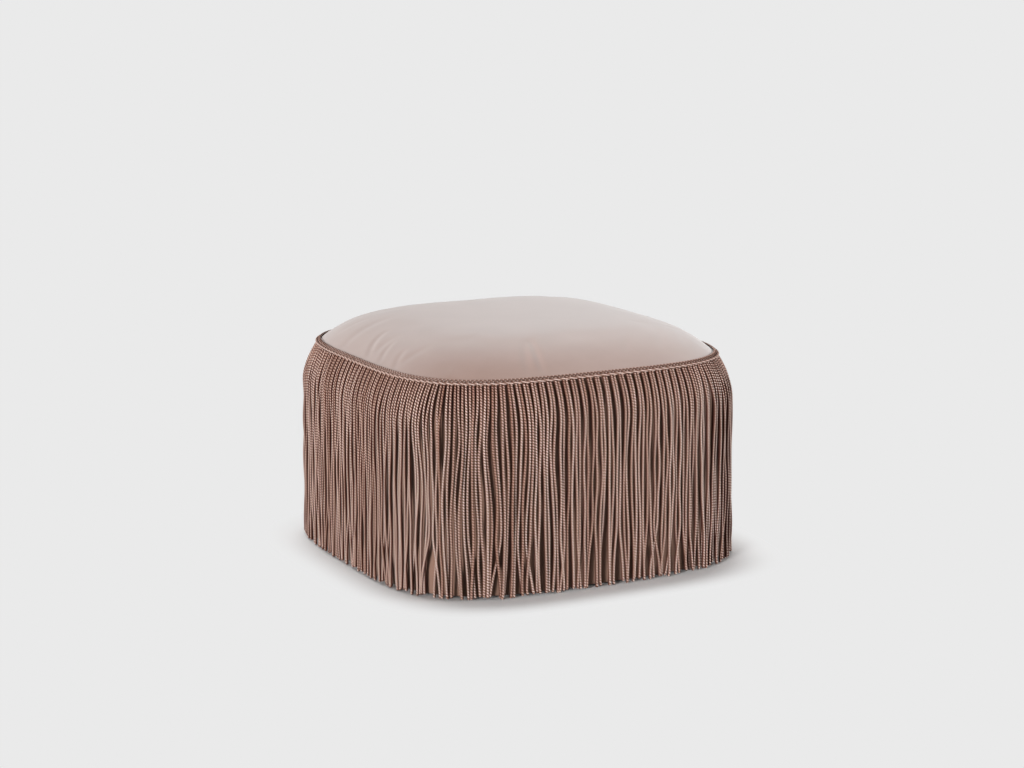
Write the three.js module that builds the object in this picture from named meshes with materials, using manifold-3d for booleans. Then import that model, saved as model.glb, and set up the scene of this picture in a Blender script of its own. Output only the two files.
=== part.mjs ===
// A fringed tuffet: a rounded-square footstool with a crowned velvet seat, a velvet side panel and a skirt
// of paired cords that hangs from a woven heading to just above the floor. Under the velvet are a plywood
// and hardboard frame on corner posts, woven webbing, hessian, foam and wadding.
// Millimetres, +Z up. The origin is on the floor, under the middle of the seat. -Y is the front.

import * as THREE from "three";
import { mergeVertices } from "three/addons/utils/BufferGeometryUtils.js";
import Module from "manifold-3d";

const wasm = await Module();
wasm.setup();

// Overall sizes
const WIDTH = 600; // side to side over the cords
const HEADING_FOOT = 317; // floor to the lower edge of the fringe heading
const CROWN_RISE = 54; // lower edge of the heading to the top of the crown
const PLAN_EXPONENT = 3.7; // plan outline: |x|^e + |y|^e = halfWidth^e, a rounded square
const CROWN_EXPONENT = 5.7; // how flat the seat stays before it rolls over to its edge

// Fits and facets
const CLEARANCE = 0.3; // between pieces that touch
const CUT_OVERRUN = 1; // how far a cutting tool runs past the face it opens
const WELD = 0.001; // points closer than this are one vertex
const PLAN_SIDES = 40; // facets round the plan outline, a multiple of 8

// Fringe
const CORD_DIAMETER = 4.8;
const CORD_SIDES = 3;
const PAIRS_PER_SIDE = 40;
const PAIR_SPREAD_SHARE = 0.48; // distance inside a pair, as a share of the pitch of the pairs
const CORNER_CROWDING_SHARE = 0.13; // how much closer than their average the pairs hang at the corners
const CORD_TIP_HEIGHT = 5; // floor to the tips, on average
const CORD_TIP_UNEVENNESS = 2; // how far a tip may be above or below that
const HEADING_HEIGHT = 5;
const HEADING_MARGIN = 0.7; // heading beyond the cords, inside and out
const CORD_EMBED = 1; // how far a cord's end runs up into the heading
const SHOULDER_INSET = 20; // heading inside the hanging cords
const SHOULDER_DROP = 65; // heading to where the cords hang straight
const SEAM_GAP = 1; // cords to side panel, at the heading
const HANG_GAP = 6; // cords to side panel, where they hang straight
const BRAID_WIDTH = 5;
const BRAID_HEIGHT = 4;

// Upholstery
const VELVET = 2;
const SEAM_RISE = 2.6; // seam between seat and side panel, above the foot of the heading
const WADDING = 8;
const SIDE_PAD = 16;
const SIDE_PAD_SETBACK = 4; // top of the side pad, below the foot of the heading
const HEM_TURN_IN = 40; // how far the side panel is turned in under the frame
const DUST_COVER = 1;
const DUST_COVER_SETBACK = 12;
const HESSIAN = 1;
const HESSIAN_SETBACK = 4;

// Frame
const GLIDE_HEIGHT = 8;
const WALL = 3;
const BASE_BOARD = 15;
const SEAT_RING = 18;
const SEAT_RING_WIDTH = 50;
const SEAT_DEPTH = 101; // top of the crown to the top of the seat ring
const POST = 40; // side of the square corner posts
const POST_SETBACK = 2;

// Webbing
const WEB_WIDTH = 50;
const WEB_THICKNESS = 1.6;
const WEB_EDGE_SHARE = 0.5; // room left beside the outer webs, as a share of the pitch of the webs
const WEB_EASE = 5; // flat run of a web beyond the web that it crosses
const WEB_SETBACK = 10; // end of a web inside the frame's edge
const STAPLE_WIDTH = 12;
const STAPLE_LEG = 10;
const STAPLE_WIRE = 1.2;
const STAPLE_SETBACK = 10; // staple inside the end of the web

// Glides and screws
const GLIDE_RADIUS = 15;
const GLIDE_CHAMFER = 2;
const GLIDE_SETBACK = 30; // glide inside the corner post, along both axes
const GLIDE_SCREW = { length: 18, shank: 1.75, head: 4, headHeight: 2.5, tip: 4 };
const GLIDE_SCREW_SINK = 1.5; // screw head above the floor
const WOOD_SCREW = { length: 45, shank: 2.25, head: 4.5, headHeight: 3, tip: 6 };
const SCREW_SIDES = 8;
const GLIDE_SIDES = 16;

const MATERIALS = {
  velvet: new THREE.MeshStandardMaterial({ color: 0xc8b4ac, roughness: 0.8 }),
  cord: new THREE.MeshStandardMaterial({ color: 0xb0938a, roughness: 0.6 }),
  braid: new THREE.MeshStandardMaterial({ color: 0x9c7f78, roughness: 0.65 }),
  foam: new THREE.MeshStandardMaterial({ color: 0xe9dfb5, roughness: 0.95 }),
  wadding: new THREE.MeshStandardMaterial({ color: 0xf2f2ef, roughness: 1 }),
  hessian: new THREE.MeshStandardMaterial({ color: 0xb49868, roughness: 0.95 }),
  webbing: new THREE.MeshStandardMaterial({ color: 0x2e2a28, roughness: 0.85 }),
  plywood: new THREE.MeshStandardMaterial({ color: 0xd2b489, roughness: 0.7 }),
  hardboard: new THREE.MeshStandardMaterial({ color: 0x7b5a3c, roughness: 0.75 }),
  nonwoven: new THREE.MeshStandardMaterial({ color: 0x1b1b1d, roughness: 0.95 }),
  plastic: new THREE.MeshStandardMaterial({ color: 0x232323, roughness: 0.5 }),
  steel: new THREE.MeshStandardMaterial({ color: 0xb9bcc0, roughness: 0.35, metalness: 1 }),
};

// Plan outline. A turned shape is round; squared() pulls it out to the rounded square. A radius before
// squaring is a half width after it, so every layer is described by its half width at the middle of a side.
const squaredShare = (share) => Math.sign(share) * Math.abs(share) ** (2 / PLAN_EXPONENT);

const planPoint = (halfWidth, angle) =>
  new THREE.Vector2(
    halfWidth * squaredShare(Math.cos(angle)),
    halfWidth * squaredShare(Math.sin(angle)),
  );

// The half width of the outline that passes through a point.
const halfWidthAt = (point) =>
  (Math.abs(point.x) ** PLAN_EXPONENT + Math.abs(point.y) ** PLAN_EXPONENT) ** (1 / PLAN_EXPONENT);

// How far an outline reaches along one axis, at an offset along the other.
const reach = (halfWidth, offset) =>
  halfWidth * (1 - (offset / halfWidth) ** PLAN_EXPONENT) ** (1 / PLAN_EXPONENT);

function squared(geometry) {
  const position = geometry.getAttribute("position");
  for (let i = 0; i < position.count; i++) {
    const x = position.getX(i);
    const y = position.getY(i);
    const radius = Math.hypot(x, y);
    if (radius > 0) {
      position.setX(i, radius * squaredShare(x / radius));
      position.setY(i, radius * squaredShare(y / radius));
    }
  }
  return geometry;
}

// Turns a profile of [radius, height] points round the Z axis. It runs anticlockwise, outward along the
// bottom and up the outside.
function turned(profile, sides) {
  const points = profile.map(([radius, height]) => new THREE.Vector2(radius, height));
  return new THREE.LatheGeometry(points, sides).rotateX(Math.PI / 2);
}

const panel = (halfWidth, bottom, top) =>
  squared(turned([[0, bottom], [halfWidth, bottom], [halfWidth, top], [0, top]], PLAN_SIDES));

const hoop = (section) => squared(turned([...section, section[0]], PLAN_SIDES));

// Solids, for pieces that are cut or joined
function solidOf(geometry) {
  const bare = geometry.clone().deleteAttribute("normal").deleteAttribute("uv");
  const welded = mergeVertices(bare, WELD);
  return new wasm.Manifold(
    new wasm.Mesh({
      numProp: 3,
      vertProperties: welded.getAttribute("position").array,
      triVerts: Uint32Array.from(welded.index.array),
    }),
  );
}

function geometryOf(solid) {
  const mesh = solid.getMesh();
  return new THREE.BufferGeometry()
    .setAttribute("position", new THREE.BufferAttribute(mesh.vertProperties, 3))
    .setIndex(new THREE.BufferAttribute(mesh.triVerts, 1));
}

const cut = (geometry, tools) =>
  geometryOf(tools.reduce((solid, tool) => solid.subtract(solidOf(tool)), solidOf(geometry)));

const tuffet = new THREE.Group();

function add(name, material, geometry) {
  const mesh = new THREE.Mesh(geometry, MATERIALS[material]);
  mesh.name = name;
  tuffet.add(mesh);
  return mesh;
}

// Cords. Each is three-sided in the solid model: a flat towards the side panel and an edge outward, as wide
// as the round cord.
const cordCorners = Array.from({ length: CORD_SIDES }, (_, corner) => (corner * 2 * Math.PI) / CORD_SIDES);
const cordOuter = CORD_DIAMETER / 2 / Math.sin(Math.PI / CORD_SIDES); // centre to the outer edge
const cordInner = cordOuter * Math.cos(Math.PI / CORD_SIDES); // centre to the inner flat
const hangHalf = WIDTH / 2 - cordOuter; // half width of the cords' centres where they hang straight
const shoulderFoot = HEADING_FOOT - SHOULDER_DROP;

// The shoulder is a parabola: 0 where the cords hang straight, 1 at the foot of the heading.
const shoulderShare = (height) => (Math.max(0, height - shoulderFoot) / SHOULDER_DROP) ** 2;
const cordHalf = (height) => hangHalf - SHOULDER_INSET * shoulderShare(height);
const panelHalf = (height) =>
  cordHalf(height) - cordInner - HANG_GAP + (HANG_GAP - SEAM_GAP) * shoulderShare(height);

// Layers of the side, from the velvet inward
const padHalf = (height) => panelHalf(height) - VELVET - CLEARANCE;
const wallHalf = padHalf(shoulderFoot) - SIDE_PAD - CLEARANCE;
const frameHalf = wallHalf - WALL - CLEARANCE;

// Levels, from the floor up
const dustCoverBottom = GLIDE_HEIGHT + CLEARANCE;
const dustCoverTop = dustCoverBottom + DUST_COVER;
const hemBottom = dustCoverTop + CLEARANCE;
const hemTop = hemBottom + VELVET;
const boardBottom = hemTop + CLEARANCE;
const boardTop = boardBottom + BASE_BOARD;
const crownTop = HEADING_FOOT + CROWN_RISE;
const deckHeight = crownTop - SEAT_DEPTH; // top of the seat ring
const ringBottom = deckHeight - SEAT_RING;
const webBottom = deckHeight + CLEARANCE;
const webTop = webBottom + WEB_THICKNESS;
const stapleTop = webTop + CLEARANCE + STAPLE_WIRE;
const weaveRise = (WEB_THICKNESS + CLEARANCE) / 2;
const hessianBottom = Math.max(stapleTop, webTop + weaveRise) + CLEARANCE;
const hessianTop = hessianBottom + HESSIAN;
const foamBottom = hessianTop + CLEARANCE;
const seam = HEADING_FOOT + SEAM_RISE;
const headingTop = HEADING_FOOT + HEADING_HEIGHT;
const padTop = HEADING_FOOT - SIDE_PAD_SETBACK;
const shoulderMiddle = shoulderFoot + SHOULDER_DROP / 2;

// Fringe heading
const headingInner = cordHalf(HEADING_FOOT) - cordInner - HEADING_MARGIN;
const headingOuter = cordHalf(HEADING_FOOT) + cordOuter + HEADING_MARGIN;

// Crown of the seat: nested domes that roll over to the seam
const CROWN_SHARES = [0, 0.57, 0.78, 0.9, 0.965, 1];
const PLAIN_CROWN_SHARES = [0, 0.6, 0.85, 1];
const dome = (halfWidth, foot, top, shares) =>
  shares.map((share) => [halfWidth * share, foot + (top - foot) * (1 - share ** CROWN_EXPONENT)]);
const seatHalf = headingInner - CLEARANCE;
const domeHalfAt = (height) =>
  seatHalf * (1 - (height - seam) / (crownTop - seam)) ** (1 / CROWN_EXPONENT);

const waddingTop = crownTop - VELVET - CLEARANCE;
const foamTop = waddingTop - WADDING - CLEARANCE;
const foamHalf = wallHalf - WADDING - CLEARANCE;

function seatCover() {
  const under = dome(seatHalf - VELVET, seam, crownTop - VELVET, CROWN_SHARES);
  const over = dome(seatHalf, seam, crownTop, CROWN_SHARES).reverse();
  add("seat_cover", "velvet", squared(turned([...under, ...over], PLAN_SIDES)));
}

function seatFilling() {
  const inner = wallHalf - WADDING;
  const under = dome(inner, seam, waddingTop - WADDING, PLAIN_CROWN_SHARES);
  const over = dome(wallHalf, seam, waddingTop, CROWN_SHARES).reverse();
  const skirt = [[inner, foamBottom], [wallHalf, foamBottom]];
  add("seat_wadding", "wadding", squared(turned([...under, ...skirt, ...over], PLAN_SIDES)));

  const crown = dome(foamHalf, seam, foamTop, PLAIN_CROWN_SHARES).reverse();
  const block = [[0, foamBottom], [foamHalf, foamBottom], ...crown];
  add("seat_foam", "foam", squared(turned(block, PLAN_SIDES)));
}

function sideUpholstery() {
  const coverTop = seam - CLEARANCE;
  const levels = [shoulderFoot, shoulderMiddle, padTop, coverTop];
  const outside = levels.map((height) => [panelHalf(height), height]);
  const inside = levels.map((height) => [panelHalf(height) - VELVET, height]).reverse();
  const side = panelHalf(0);
  const turnIn = side - HEM_TURN_IN;
  add(
    "side_cover",
    "velvet",
    hoop([
      [turnIn, hemBottom],
      [side, hemBottom],
      ...outside,
      ...inside,
      [side - VELVET, hemTop],
      [turnIn, hemTop],
    ]),
  );

  const padLevels = [boardBottom, shoulderFoot, shoulderMiddle, padTop];
  const padFace = padLevels.map((height) => [padHalf(height), height]);
  const padBack = wallHalf + CLEARANCE;
  add("side_padding", "foam", hoop([[padBack, boardBottom], ...padFace, [padBack, padTop]]));
}

// The heading and its cords, for one side. The cords hang in pairs along the heading's line, a little closer
// together at the corners, run out over the shoulder square to the outline and then hang straight.
const QUARTER_STATIONS = PLAN_SIDES / 4;

function quarterLine(halfWidth, endGap) {
  const endAngle = Math.PI / 4 - endGap / halfWidth;
  return Array.from({ length: QUARTER_STATIONS + 1 }, (_, i) => {
    const angle = (i / QUARTER_STATIONS - 0.5) * (Math.PI / 2);
    return planPoint(halfWidth, THREE.MathUtils.clamp(angle, -endAngle, endAngle));
  });
}

function pointAlong(line, share) {
  const lengths = line.slice(1).map((point, i) => point.distanceTo(line[i]));
  let left = share * lengths.reduce((sum, length) => sum + length, 0);
  let i = 0;
  while (i < lengths.length - 1 && left > lengths[i]) left -= lengths[i++];
  return line[i].clone().lerp(line[i + 1], left / lengths[i]);
}

const squaredSlope = (share) => Math.sign(share) * Math.abs(share) ** (PLAN_EXPONENT - 1);

// Where a cord that starts at a point of the heading is, when it has moved out to another half width
function movedOut(start, distance) {
  const half = halfWidthAt(start);
  const slope = new THREE.Vector2(squaredSlope(start.x / half), squaredSlope(start.y / half));
  const steepness = slope.length();
  const end = start.clone().addScaledVector(slope, distance / steepness ** 2);
  const point = end.multiplyScalar((half + distance) / halfWidthAt(end));
  return { point, outward: slope.divideScalar(steepness) };
}

function cord(start, tipHeight) {
  const headingHalf = cordHalf(HEADING_FOOT);
  const heights = [tipHeight, shoulderFoot, shoulderMiddle, HEADING_FOOT + CORD_EMBED];
  const corners = heights.flatMap((height) => {
    const { point, outward } = movedOut(start, cordHalf(Math.min(height, HEADING_FOOT)) - headingHalf);
    return cordCorners.map((angle) => {
      const corner = outward.clone().rotateAround(new THREE.Vector2(), angle).multiplyScalar(cordOuter);
      return new THREE.Vector3(point.x + corner.x, point.y + corner.y, height);
    });
  });
  const index = [];
  const top = (heights.length - 1) * CORD_SIDES;
  for (let ring = 0; ring < top; ring += CORD_SIDES) {
    for (let side = 0; side < CORD_SIDES; side++) {
      const [a, b] = [ring + side, ring + ((side + 1) % CORD_SIDES)];
      index.push(a, b, b + CORD_SIDES, a, b + CORD_SIDES, a + CORD_SIDES);
    }
  }
  for (let side = 1; side < CORD_SIDES - 1; side++) {
    index.push(side + 1, side, 0, top, top + side, top + side + 1);
  }
  return new THREE.BufferGeometry().setFromPoints(corners).setIndex(index);
}

// Moves an even share of a side towards the nearer corner.
const crowded = (share) =>
  share - (CORNER_CROWDING_SHARE * Math.sin(2 * Math.PI * share)) / (2 * Math.PI);

const GOLDEN_ANGLE = Math.PI * (3 - Math.sqrt(5)); // spreads the uneven tips without a visible rhythm

function fringeSide() {
  const outer = quarterLine(headingOuter, CLEARANCE / 2);
  const inner = quarterLine(headingInner, CLEARANCE / 2).reverse();
  const band = new THREE.ExtrudeGeometry(new THREE.Shape([...outer, ...inner]), {
    depth: HEADING_HEIGHT,
    bevelEnabled: false,
  }).translate(0, 0, HEADING_FOOT);
  const line = quarterLine(cordHalf(HEADING_FOOT), 0);
  let fringe = solidOf(band);
  for (let i = 0; i < 2 * PAIRS_PER_SIDE; i++) {
    const side = i % 2 ? 1 : -1;
    const place = Math.floor(i / 2) + (1 + side * PAIR_SPREAD_SHARE) / 2;
    const start = pointAlong(line, crowded(place / PAIRS_PER_SIDE));
    const tip = CORD_TIP_HEIGHT + CORD_TIP_UNEVENNESS * Math.sin(i * GOLDEN_ANGLE);
    fringe = fringe.add(solidOf(cord(start, tip)));
  }
  return geometryOf(fringe);
}

function fringeAndBraid() {
  const side = fringeSide();
  ["right", "back", "left", "front"].forEach((name, i) => {
    add(`fringe_${name}`, "cord", side).rotation.z = (i * Math.PI) / 2;
  });

  const inner = domeHalfAt(headingTop) + CLEARANCE;
  const outer = inner + BRAID_WIDTH;
  const bottom = headingTop + CLEARANCE;
  const top = bottom + BRAID_HEIGHT;
  const [roundIn, roundUp] = [BRAID_WIDTH / 4, BRAID_HEIGHT / 2];
  const section = [
    [inner, bottom],
    [outer - roundIn, bottom],
    [outer, bottom + roundUp],
    [outer - roundIn, top],
    [inner + roundIn, top],
    [inner, top - roundUp],
  ];
  add("gimp_braid", "braid", hoop(section));
}

// Screws. A screw stands on its head at height 0 with its point up. Its hole is the same shape with the
// clearance all round, open below the head.
function screw({ length, shank, head, headHeight, tip }) {
  const profile = [[0, 0], [head, 0], [shank, headHeight], [shank, length - tip], [0, length]];
  return turned(profile, SCREW_SIDES);
}

function screwHole({ length, shank, head, headHeight }) {
  const wide = head + CLEARANCE;
  const narrow = shank + CLEARANCE;
  const end = length + CLEARANCE;
  const mouth = [[0, -CUT_OVERRUN], [wide, -CUT_OVERRUN], [wide, 0]];
  return turned([...mouth, [narrow, headHeight], [narrow, end], [0, end]], SCREW_SIDES);
}

const CORNERS = [
  ["front_left", -1, -1],
  ["front_right", 1, -1],
  ["back_right", 1, 1],
  ["back_left", -1, 1],
];
const diagonalShare = 0.5 ** (1 / PLAN_EXPONENT); // x and y of an outline's corner, against its half width
const postPlace = frameHalf * diagonalShare - POST_SETBACK - POST / 2;
const glidePlace = postPlace - GLIDE_SETBACK;

const upright = (geometry, x, y, bottom) => geometry.translate(x, y, bottom);
const inverted = (geometry, x, y, top) => geometry.rotateX(Math.PI).translate(x, y, top);

const lowerHole = ([, x, y]) => upright(screwHole(WOOD_SCREW), x * postPlace, y * postPlace, boardBottom);
const upperHole = ([, x, y]) => inverted(screwHole(WOOD_SCREW), x * postPlace, y * postPlace, deckHeight);
const glideHole = ([, x, y]) =>
  upright(screwHole(GLIDE_SCREW), x * glidePlace, y * glidePlace, GLIDE_SCREW_SINK);

// Webs. Three run across the seat and three along it, each over and under the webs that it crosses.
const WEB_NAMES = { across: ["front", "middle", "back"], along: ["right", "middle", "left"] };
const WEB_END_NAMES = { across: ["left", "right"], along: ["front", "back"] };
const ROWS = [-1, 0, 1];
const ENDS = [-1, 1];
const TURNS = { across: 0, along: Math.PI / 2 };
const ringInner = frameHalf - SEAT_RING_WIDTH;
const webPitch = (2 * ringInner) / (ROWS.length + WEB_EDGE_SHARE);
const webHalf = reach(frameHalf, webPitch + WEB_WIDTH / 2) - WEB_SETBACK;
const stapleRun = webHalf - STAPLE_SETBACK;

function web(row) {
  const landing = reach(ringInner, Math.abs(row) * webPitch + WEB_WIDTH / 2);
  const flat = WEB_WIDTH / 2 + WEB_EASE;
  const crossings = ROWS.flatMap((crossing) => {
    const height = (row + crossing) % 2 ? weaveRise : -weaveRise;
    return [[crossing * webPitch - flat, height], [crossing * webPitch + flat, height]];
  });
  const line = [[-webHalf, 0], [-landing, 0], ...crossings, [landing, 0], [webHalf, 0]];
  const under = line.map(([run, height]) => new THREE.Vector2(run, webBottom + height));
  const over = line.map(([run, height]) => new THREE.Vector2(run, webTop + height)).reverse();
  return new THREE.ExtrudeGeometry(new THREE.Shape([...under, ...over]), {
    depth: WEB_WIDTH,
    bevelEnabled: false,
  })
    .rotateX(Math.PI / 2)
    .translate(0, row * webPitch + WEB_WIDTH / 2, 0);
}

// The same web with its ups and downs exchanged, for the webs that run along the seat
function flippedWeave(row) {
  const middle = (webBottom + webTop) / 2;
  const centred = web(row).translate(0, -row * webPitch, -middle);
  return centred.rotateX(Math.PI).translate(0, row * webPitch, middle);
}

function staple(run, row) {
  const half = STAPLE_WIDTH / 2;
  const crownBottom = stapleTop - STAPLE_WIRE;
  const foot = crownBottom - STAPLE_LEG;
  const outline = [
    [-half, foot],
    [-half + STAPLE_WIRE, foot],
    [-half + STAPLE_WIRE, crownBottom],
    [half - STAPLE_WIRE, crownBottom],
    [half - STAPLE_WIRE, foot],
    [half, foot],
    [half, stapleTop],
    [-half, stapleTop],
  ].map(([across, height]) => new THREE.Vector2(across, height));
  return new THREE.ExtrudeGeometry(new THREE.Shape(outline), { depth: STAPLE_WIRE, bevelEnabled: false })
    .translate(0, 0, -STAPLE_WIRE / 2)
    .rotateX(Math.PI / 2)
    .rotateZ(Math.PI / 2)
    .translate(run, row * webPitch, 0);
}

function stapleLegHoles(run, row) {
  const size = STAPLE_WIRE + 2 * CLEARANCE;
  const depth = STAPLE_LEG + 2 * CLEARANCE + CUT_OVERRUN;
  return [-1, 1].map((side) =>
    new THREE.BoxGeometry(size, size, depth).translate(
      run,
      row * webPitch + (side * (STAPLE_WIDTH - STAPLE_WIRE)) / 2,
      stapleTop - STAPLE_WIRE - STAPLE_LEG - CLEARANCE + depth / 2,
    ),
  );
}

function webbing() {
  Object.entries(TURNS).forEach(([way, turn]) => {
    ROWS.forEach((row, i) => {
      const name = `web_${way}_${WEB_NAMES[way][i]}`;
      const strip = way === "across" ? web(row) : flippedWeave(row);
      const holes = ENDS.flatMap((end) => stapleLegHoles(end * stapleRun, row));
      add(name, "webbing", cut(strip, holes)).rotation.z = turn;
      ENDS.forEach((end, j) => {
        const pin = staple(end * stapleRun, row);
        add(`staple_${way}_${WEB_NAMES[way][i]}_${WEB_END_NAMES[way][j]}`, "steel", pin).rotation.z = turn;
      });
    });
  });
}

function frame() {
  const board = panel(frameHalf, boardBottom, boardTop);
  add("base_board", "plywood", cut(board, [...CORNERS.map(lowerHole), ...CORNERS.map(glideHole)]));

  const ring = hoop([
    [ringInner, ringBottom],
    [frameHalf, ringBottom],
    [frameHalf, deckHeight],
    [ringInner, deckHeight],
  ]);
  const stapleHoles = Object.values(TURNS).flatMap((turn) =>
    ROWS.flatMap((row) =>
      ENDS.flatMap((end) => stapleLegHoles(end * stapleRun, row)).map((hole) => hole.rotateZ(turn)),
    ),
  );
  add("seat_ring", "plywood", cut(ring, [...CORNERS.map(upperHole), ...stapleHoles]));

  const wallInner = frameHalf + CLEARANCE;
  const wall = [
    [wallInner, boardBottom],
    [wallHalf, boardBottom],
    [wallHalf, deckHeight],
    [wallInner, deckHeight],
  ];
  add("side_wall", "hardboard", hoop(wall));

  const postBottom = boardTop + CLEARANCE;
  const postLength = ringBottom - CLEARANCE - postBottom;
  CORNERS.forEach((corner) => {
    const [name, x, y] = corner;
    const post = new THREE.BoxGeometry(POST, POST, postLength).translate(
      x * postPlace,
      y * postPlace,
      postBottom + postLength / 2,
    );
    add(`corner_post_${name}`, "plywood", cut(post, [lowerHole(corner), upperHole(corner)]));
    const [px, py] = [x * postPlace, y * postPlace];
    add(`post_screw_lower_${name}`, "steel", upright(screw(WOOD_SCREW), px, py, boardBottom));
    add(`post_screw_upper_${name}`, "steel", inverted(screw(WOOD_SCREW), px, py, deckHeight));
  });

  add("hessian", "hessian", panel(frameHalf - HESSIAN_SETBACK, hessianBottom, hessianTop));
}

function underside() {
  const cloth = panel(frameHalf - DUST_COVER_SETBACK, dustCoverBottom, dustCoverTop);
  add("dust_cover", "nonwoven", cut(cloth, CORNERS.map(glideHole)));

  const headBore = GLIDE_SCREW.head + CLEARANCE;
  const shankBore = GLIDE_SCREW.shank + CLEARANCE;
  const profile = [
    [headBore, 0],
    [GLIDE_RADIUS - GLIDE_CHAMFER, 0],
    [GLIDE_RADIUS, GLIDE_CHAMFER],
    [GLIDE_RADIUS, GLIDE_HEIGHT],
    [shankBore, GLIDE_HEIGHT],
    [shankBore, GLIDE_SCREW_SINK + GLIDE_SCREW.headHeight],
    [headBore, GLIDE_SCREW_SINK],
    [headBore, 0],
  ];
  CORNERS.forEach(([name, x, y]) => {
    const [gx, gy] = [x * glidePlace, y * glidePlace];
    add(`glide_${name}`, "plastic", turned(profile, GLIDE_SIDES).translate(gx, gy, 0));
    add(`glide_screw_${name}`, "steel", upright(screw(GLIDE_SCREW), gx, gy, GLIDE_SCREW_SINK));
  });
}

underside();
frame();
webbing();
seatFilling();
seatCover();
sideUpholstery();
fringeAndBraid();

export default tuffet;
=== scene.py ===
# A fringed tuffet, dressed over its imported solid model: a crowned velvet seat on a rounded-square plan, a
# two-row trim, a skirt of paired twisted cords in front of a velvet side panel, and the frame inside.
# Metres, +Z up. The origin is on the floor, under the middle of the seat, and -Y is the front.

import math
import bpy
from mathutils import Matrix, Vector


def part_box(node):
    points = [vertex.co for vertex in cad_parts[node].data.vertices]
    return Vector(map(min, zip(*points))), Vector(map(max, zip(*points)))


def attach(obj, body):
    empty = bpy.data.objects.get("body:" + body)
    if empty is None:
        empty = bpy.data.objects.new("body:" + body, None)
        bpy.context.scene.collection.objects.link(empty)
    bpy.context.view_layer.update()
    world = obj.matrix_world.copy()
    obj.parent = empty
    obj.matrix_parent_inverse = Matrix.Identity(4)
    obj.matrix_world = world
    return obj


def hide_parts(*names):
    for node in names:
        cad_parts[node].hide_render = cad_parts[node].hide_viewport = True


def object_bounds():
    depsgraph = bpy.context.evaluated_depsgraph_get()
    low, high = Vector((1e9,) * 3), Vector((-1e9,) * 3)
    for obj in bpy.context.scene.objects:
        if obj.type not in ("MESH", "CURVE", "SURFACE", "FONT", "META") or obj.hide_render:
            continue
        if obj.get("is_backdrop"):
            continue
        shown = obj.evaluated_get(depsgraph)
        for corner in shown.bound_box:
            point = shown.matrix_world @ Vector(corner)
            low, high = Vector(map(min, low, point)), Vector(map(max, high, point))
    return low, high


bl_info = {
    "name": "Fringed Tuffet",
    "version": (1, 0, 0),
    "blender": (4, 5, 0),
    "location": "View3D > Sidebar > Tuffet",
    "description": "Dresses the frame of a fringed velvet tuffet",
    "category": "Add Mesh",
}

import bpy
import numpy as np
from bpy.props import FloatProperty, FloatVectorProperty, IntProperty, PointerProperty
from mathutils import Euler, Vector

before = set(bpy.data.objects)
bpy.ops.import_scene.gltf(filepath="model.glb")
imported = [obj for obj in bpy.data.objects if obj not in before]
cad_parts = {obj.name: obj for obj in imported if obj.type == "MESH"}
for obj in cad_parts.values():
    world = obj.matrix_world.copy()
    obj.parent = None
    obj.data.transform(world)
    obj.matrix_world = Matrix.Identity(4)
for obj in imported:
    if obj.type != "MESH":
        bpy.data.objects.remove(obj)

BODY = "root"
CAD_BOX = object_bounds()
SEAT_LOW, SEAT_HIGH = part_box("seat_cover")
SKIRT_LOW, SKIRT_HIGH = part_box("fringe_front")
FOAM_LOW, FOAM_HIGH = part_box("seat_foam")
WADDING_LOW, WADDING_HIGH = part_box("seat_wadding")
PADDING_LOW, PADDING_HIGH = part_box("side_padding")
WEB_LOW, WEB_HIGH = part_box("web_across_front")
DUST_LOW, DUST_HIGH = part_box("dust_cover")
PANEL_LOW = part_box("side_cover")[0]
WALL_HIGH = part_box("side_wall")[1]
HESSIAN_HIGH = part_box("hessian")[1]

# Plan and crown
PLAN_POWER = 3.7  # |x|^p + |y|^p = half^p, a rounded square
CROWN_POWER = 5.7  # how flat the seat stays before it rolls over
FULL_TURN = 2 * math.pi
QUARTER_TURN = math.pi / 2
SIDES = ["right", "back", "left", "front"]
OUTLINE_SAMPLES = 8001

# Skirt, as the solid model has it
CORD_SOLID_REACH = 0.002771  # middle of a cord to the outer edge of its solid
CORD_SOLID_DEPTH = 0.001386  # middle of a cord to the flat of its solid
SEAM = SEAT_LOW.z
SEAM_RISE = 0.0026
HEADING_FOOT = SEAM - SEAM_RISE
SHOULDER_INSET = 0.020
SHOULDER_DROP = 0.065
SHOULDER_FOOT = HEADING_FOOT - SHOULDER_DROP
SEAM_GAP = 0.001
HANG_GAP = 0.006
HANG_HALF = -SKIRT_LOW.y - CORD_SOLID_REACH
HEADING_HALF = HANG_HALF - SHOULDER_INSET
CORNER_CROWDING_SHARE = 0.13
CLEARANCE = 0.0003

# Soft waves in cloth and cords
WAVE_COUNT = 40
WAVE_RANGE = (0.6, 2.0)  # how much a wave's length may differ from the one asked for, as shares
PUCKER_TALL = 0.12
PUCKER_WIDE = 0.07


# Plan helpers


def signed_power(values, power):
    return np.sign(values) * np.abs(values) ** power


def outline(half, angles):
    """Points of the rounded square with that half width."""
    share = 2 / PLAN_POWER
    return half * np.stack([signed_power(np.cos(angles), share), signed_power(np.sin(angles), share)], -1)


def half_at(points):
    """The half width of the rounded square that passes through each point."""
    return (np.abs(points) ** PLAN_POWER).sum(-1) ** (1 / PLAN_POWER)


def slope_at(points):
    return signed_power(points / half_at(points)[..., None], PLAN_POWER - 1)


def outward_at(points):
    slope = slope_at(points)
    return slope / np.linalg.norm(slope, axis=-1, keepdims=True)


def outset(points, distance):
    """Points moved square to their outline, to the one that is wider by the distance."""
    slope = slope_at(points)
    moved = points + slope * (distance / (slope**2).sum(-1))[..., None]
    return moved * ((half_at(points) + distance) / half_at(moved))[..., None]


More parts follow.
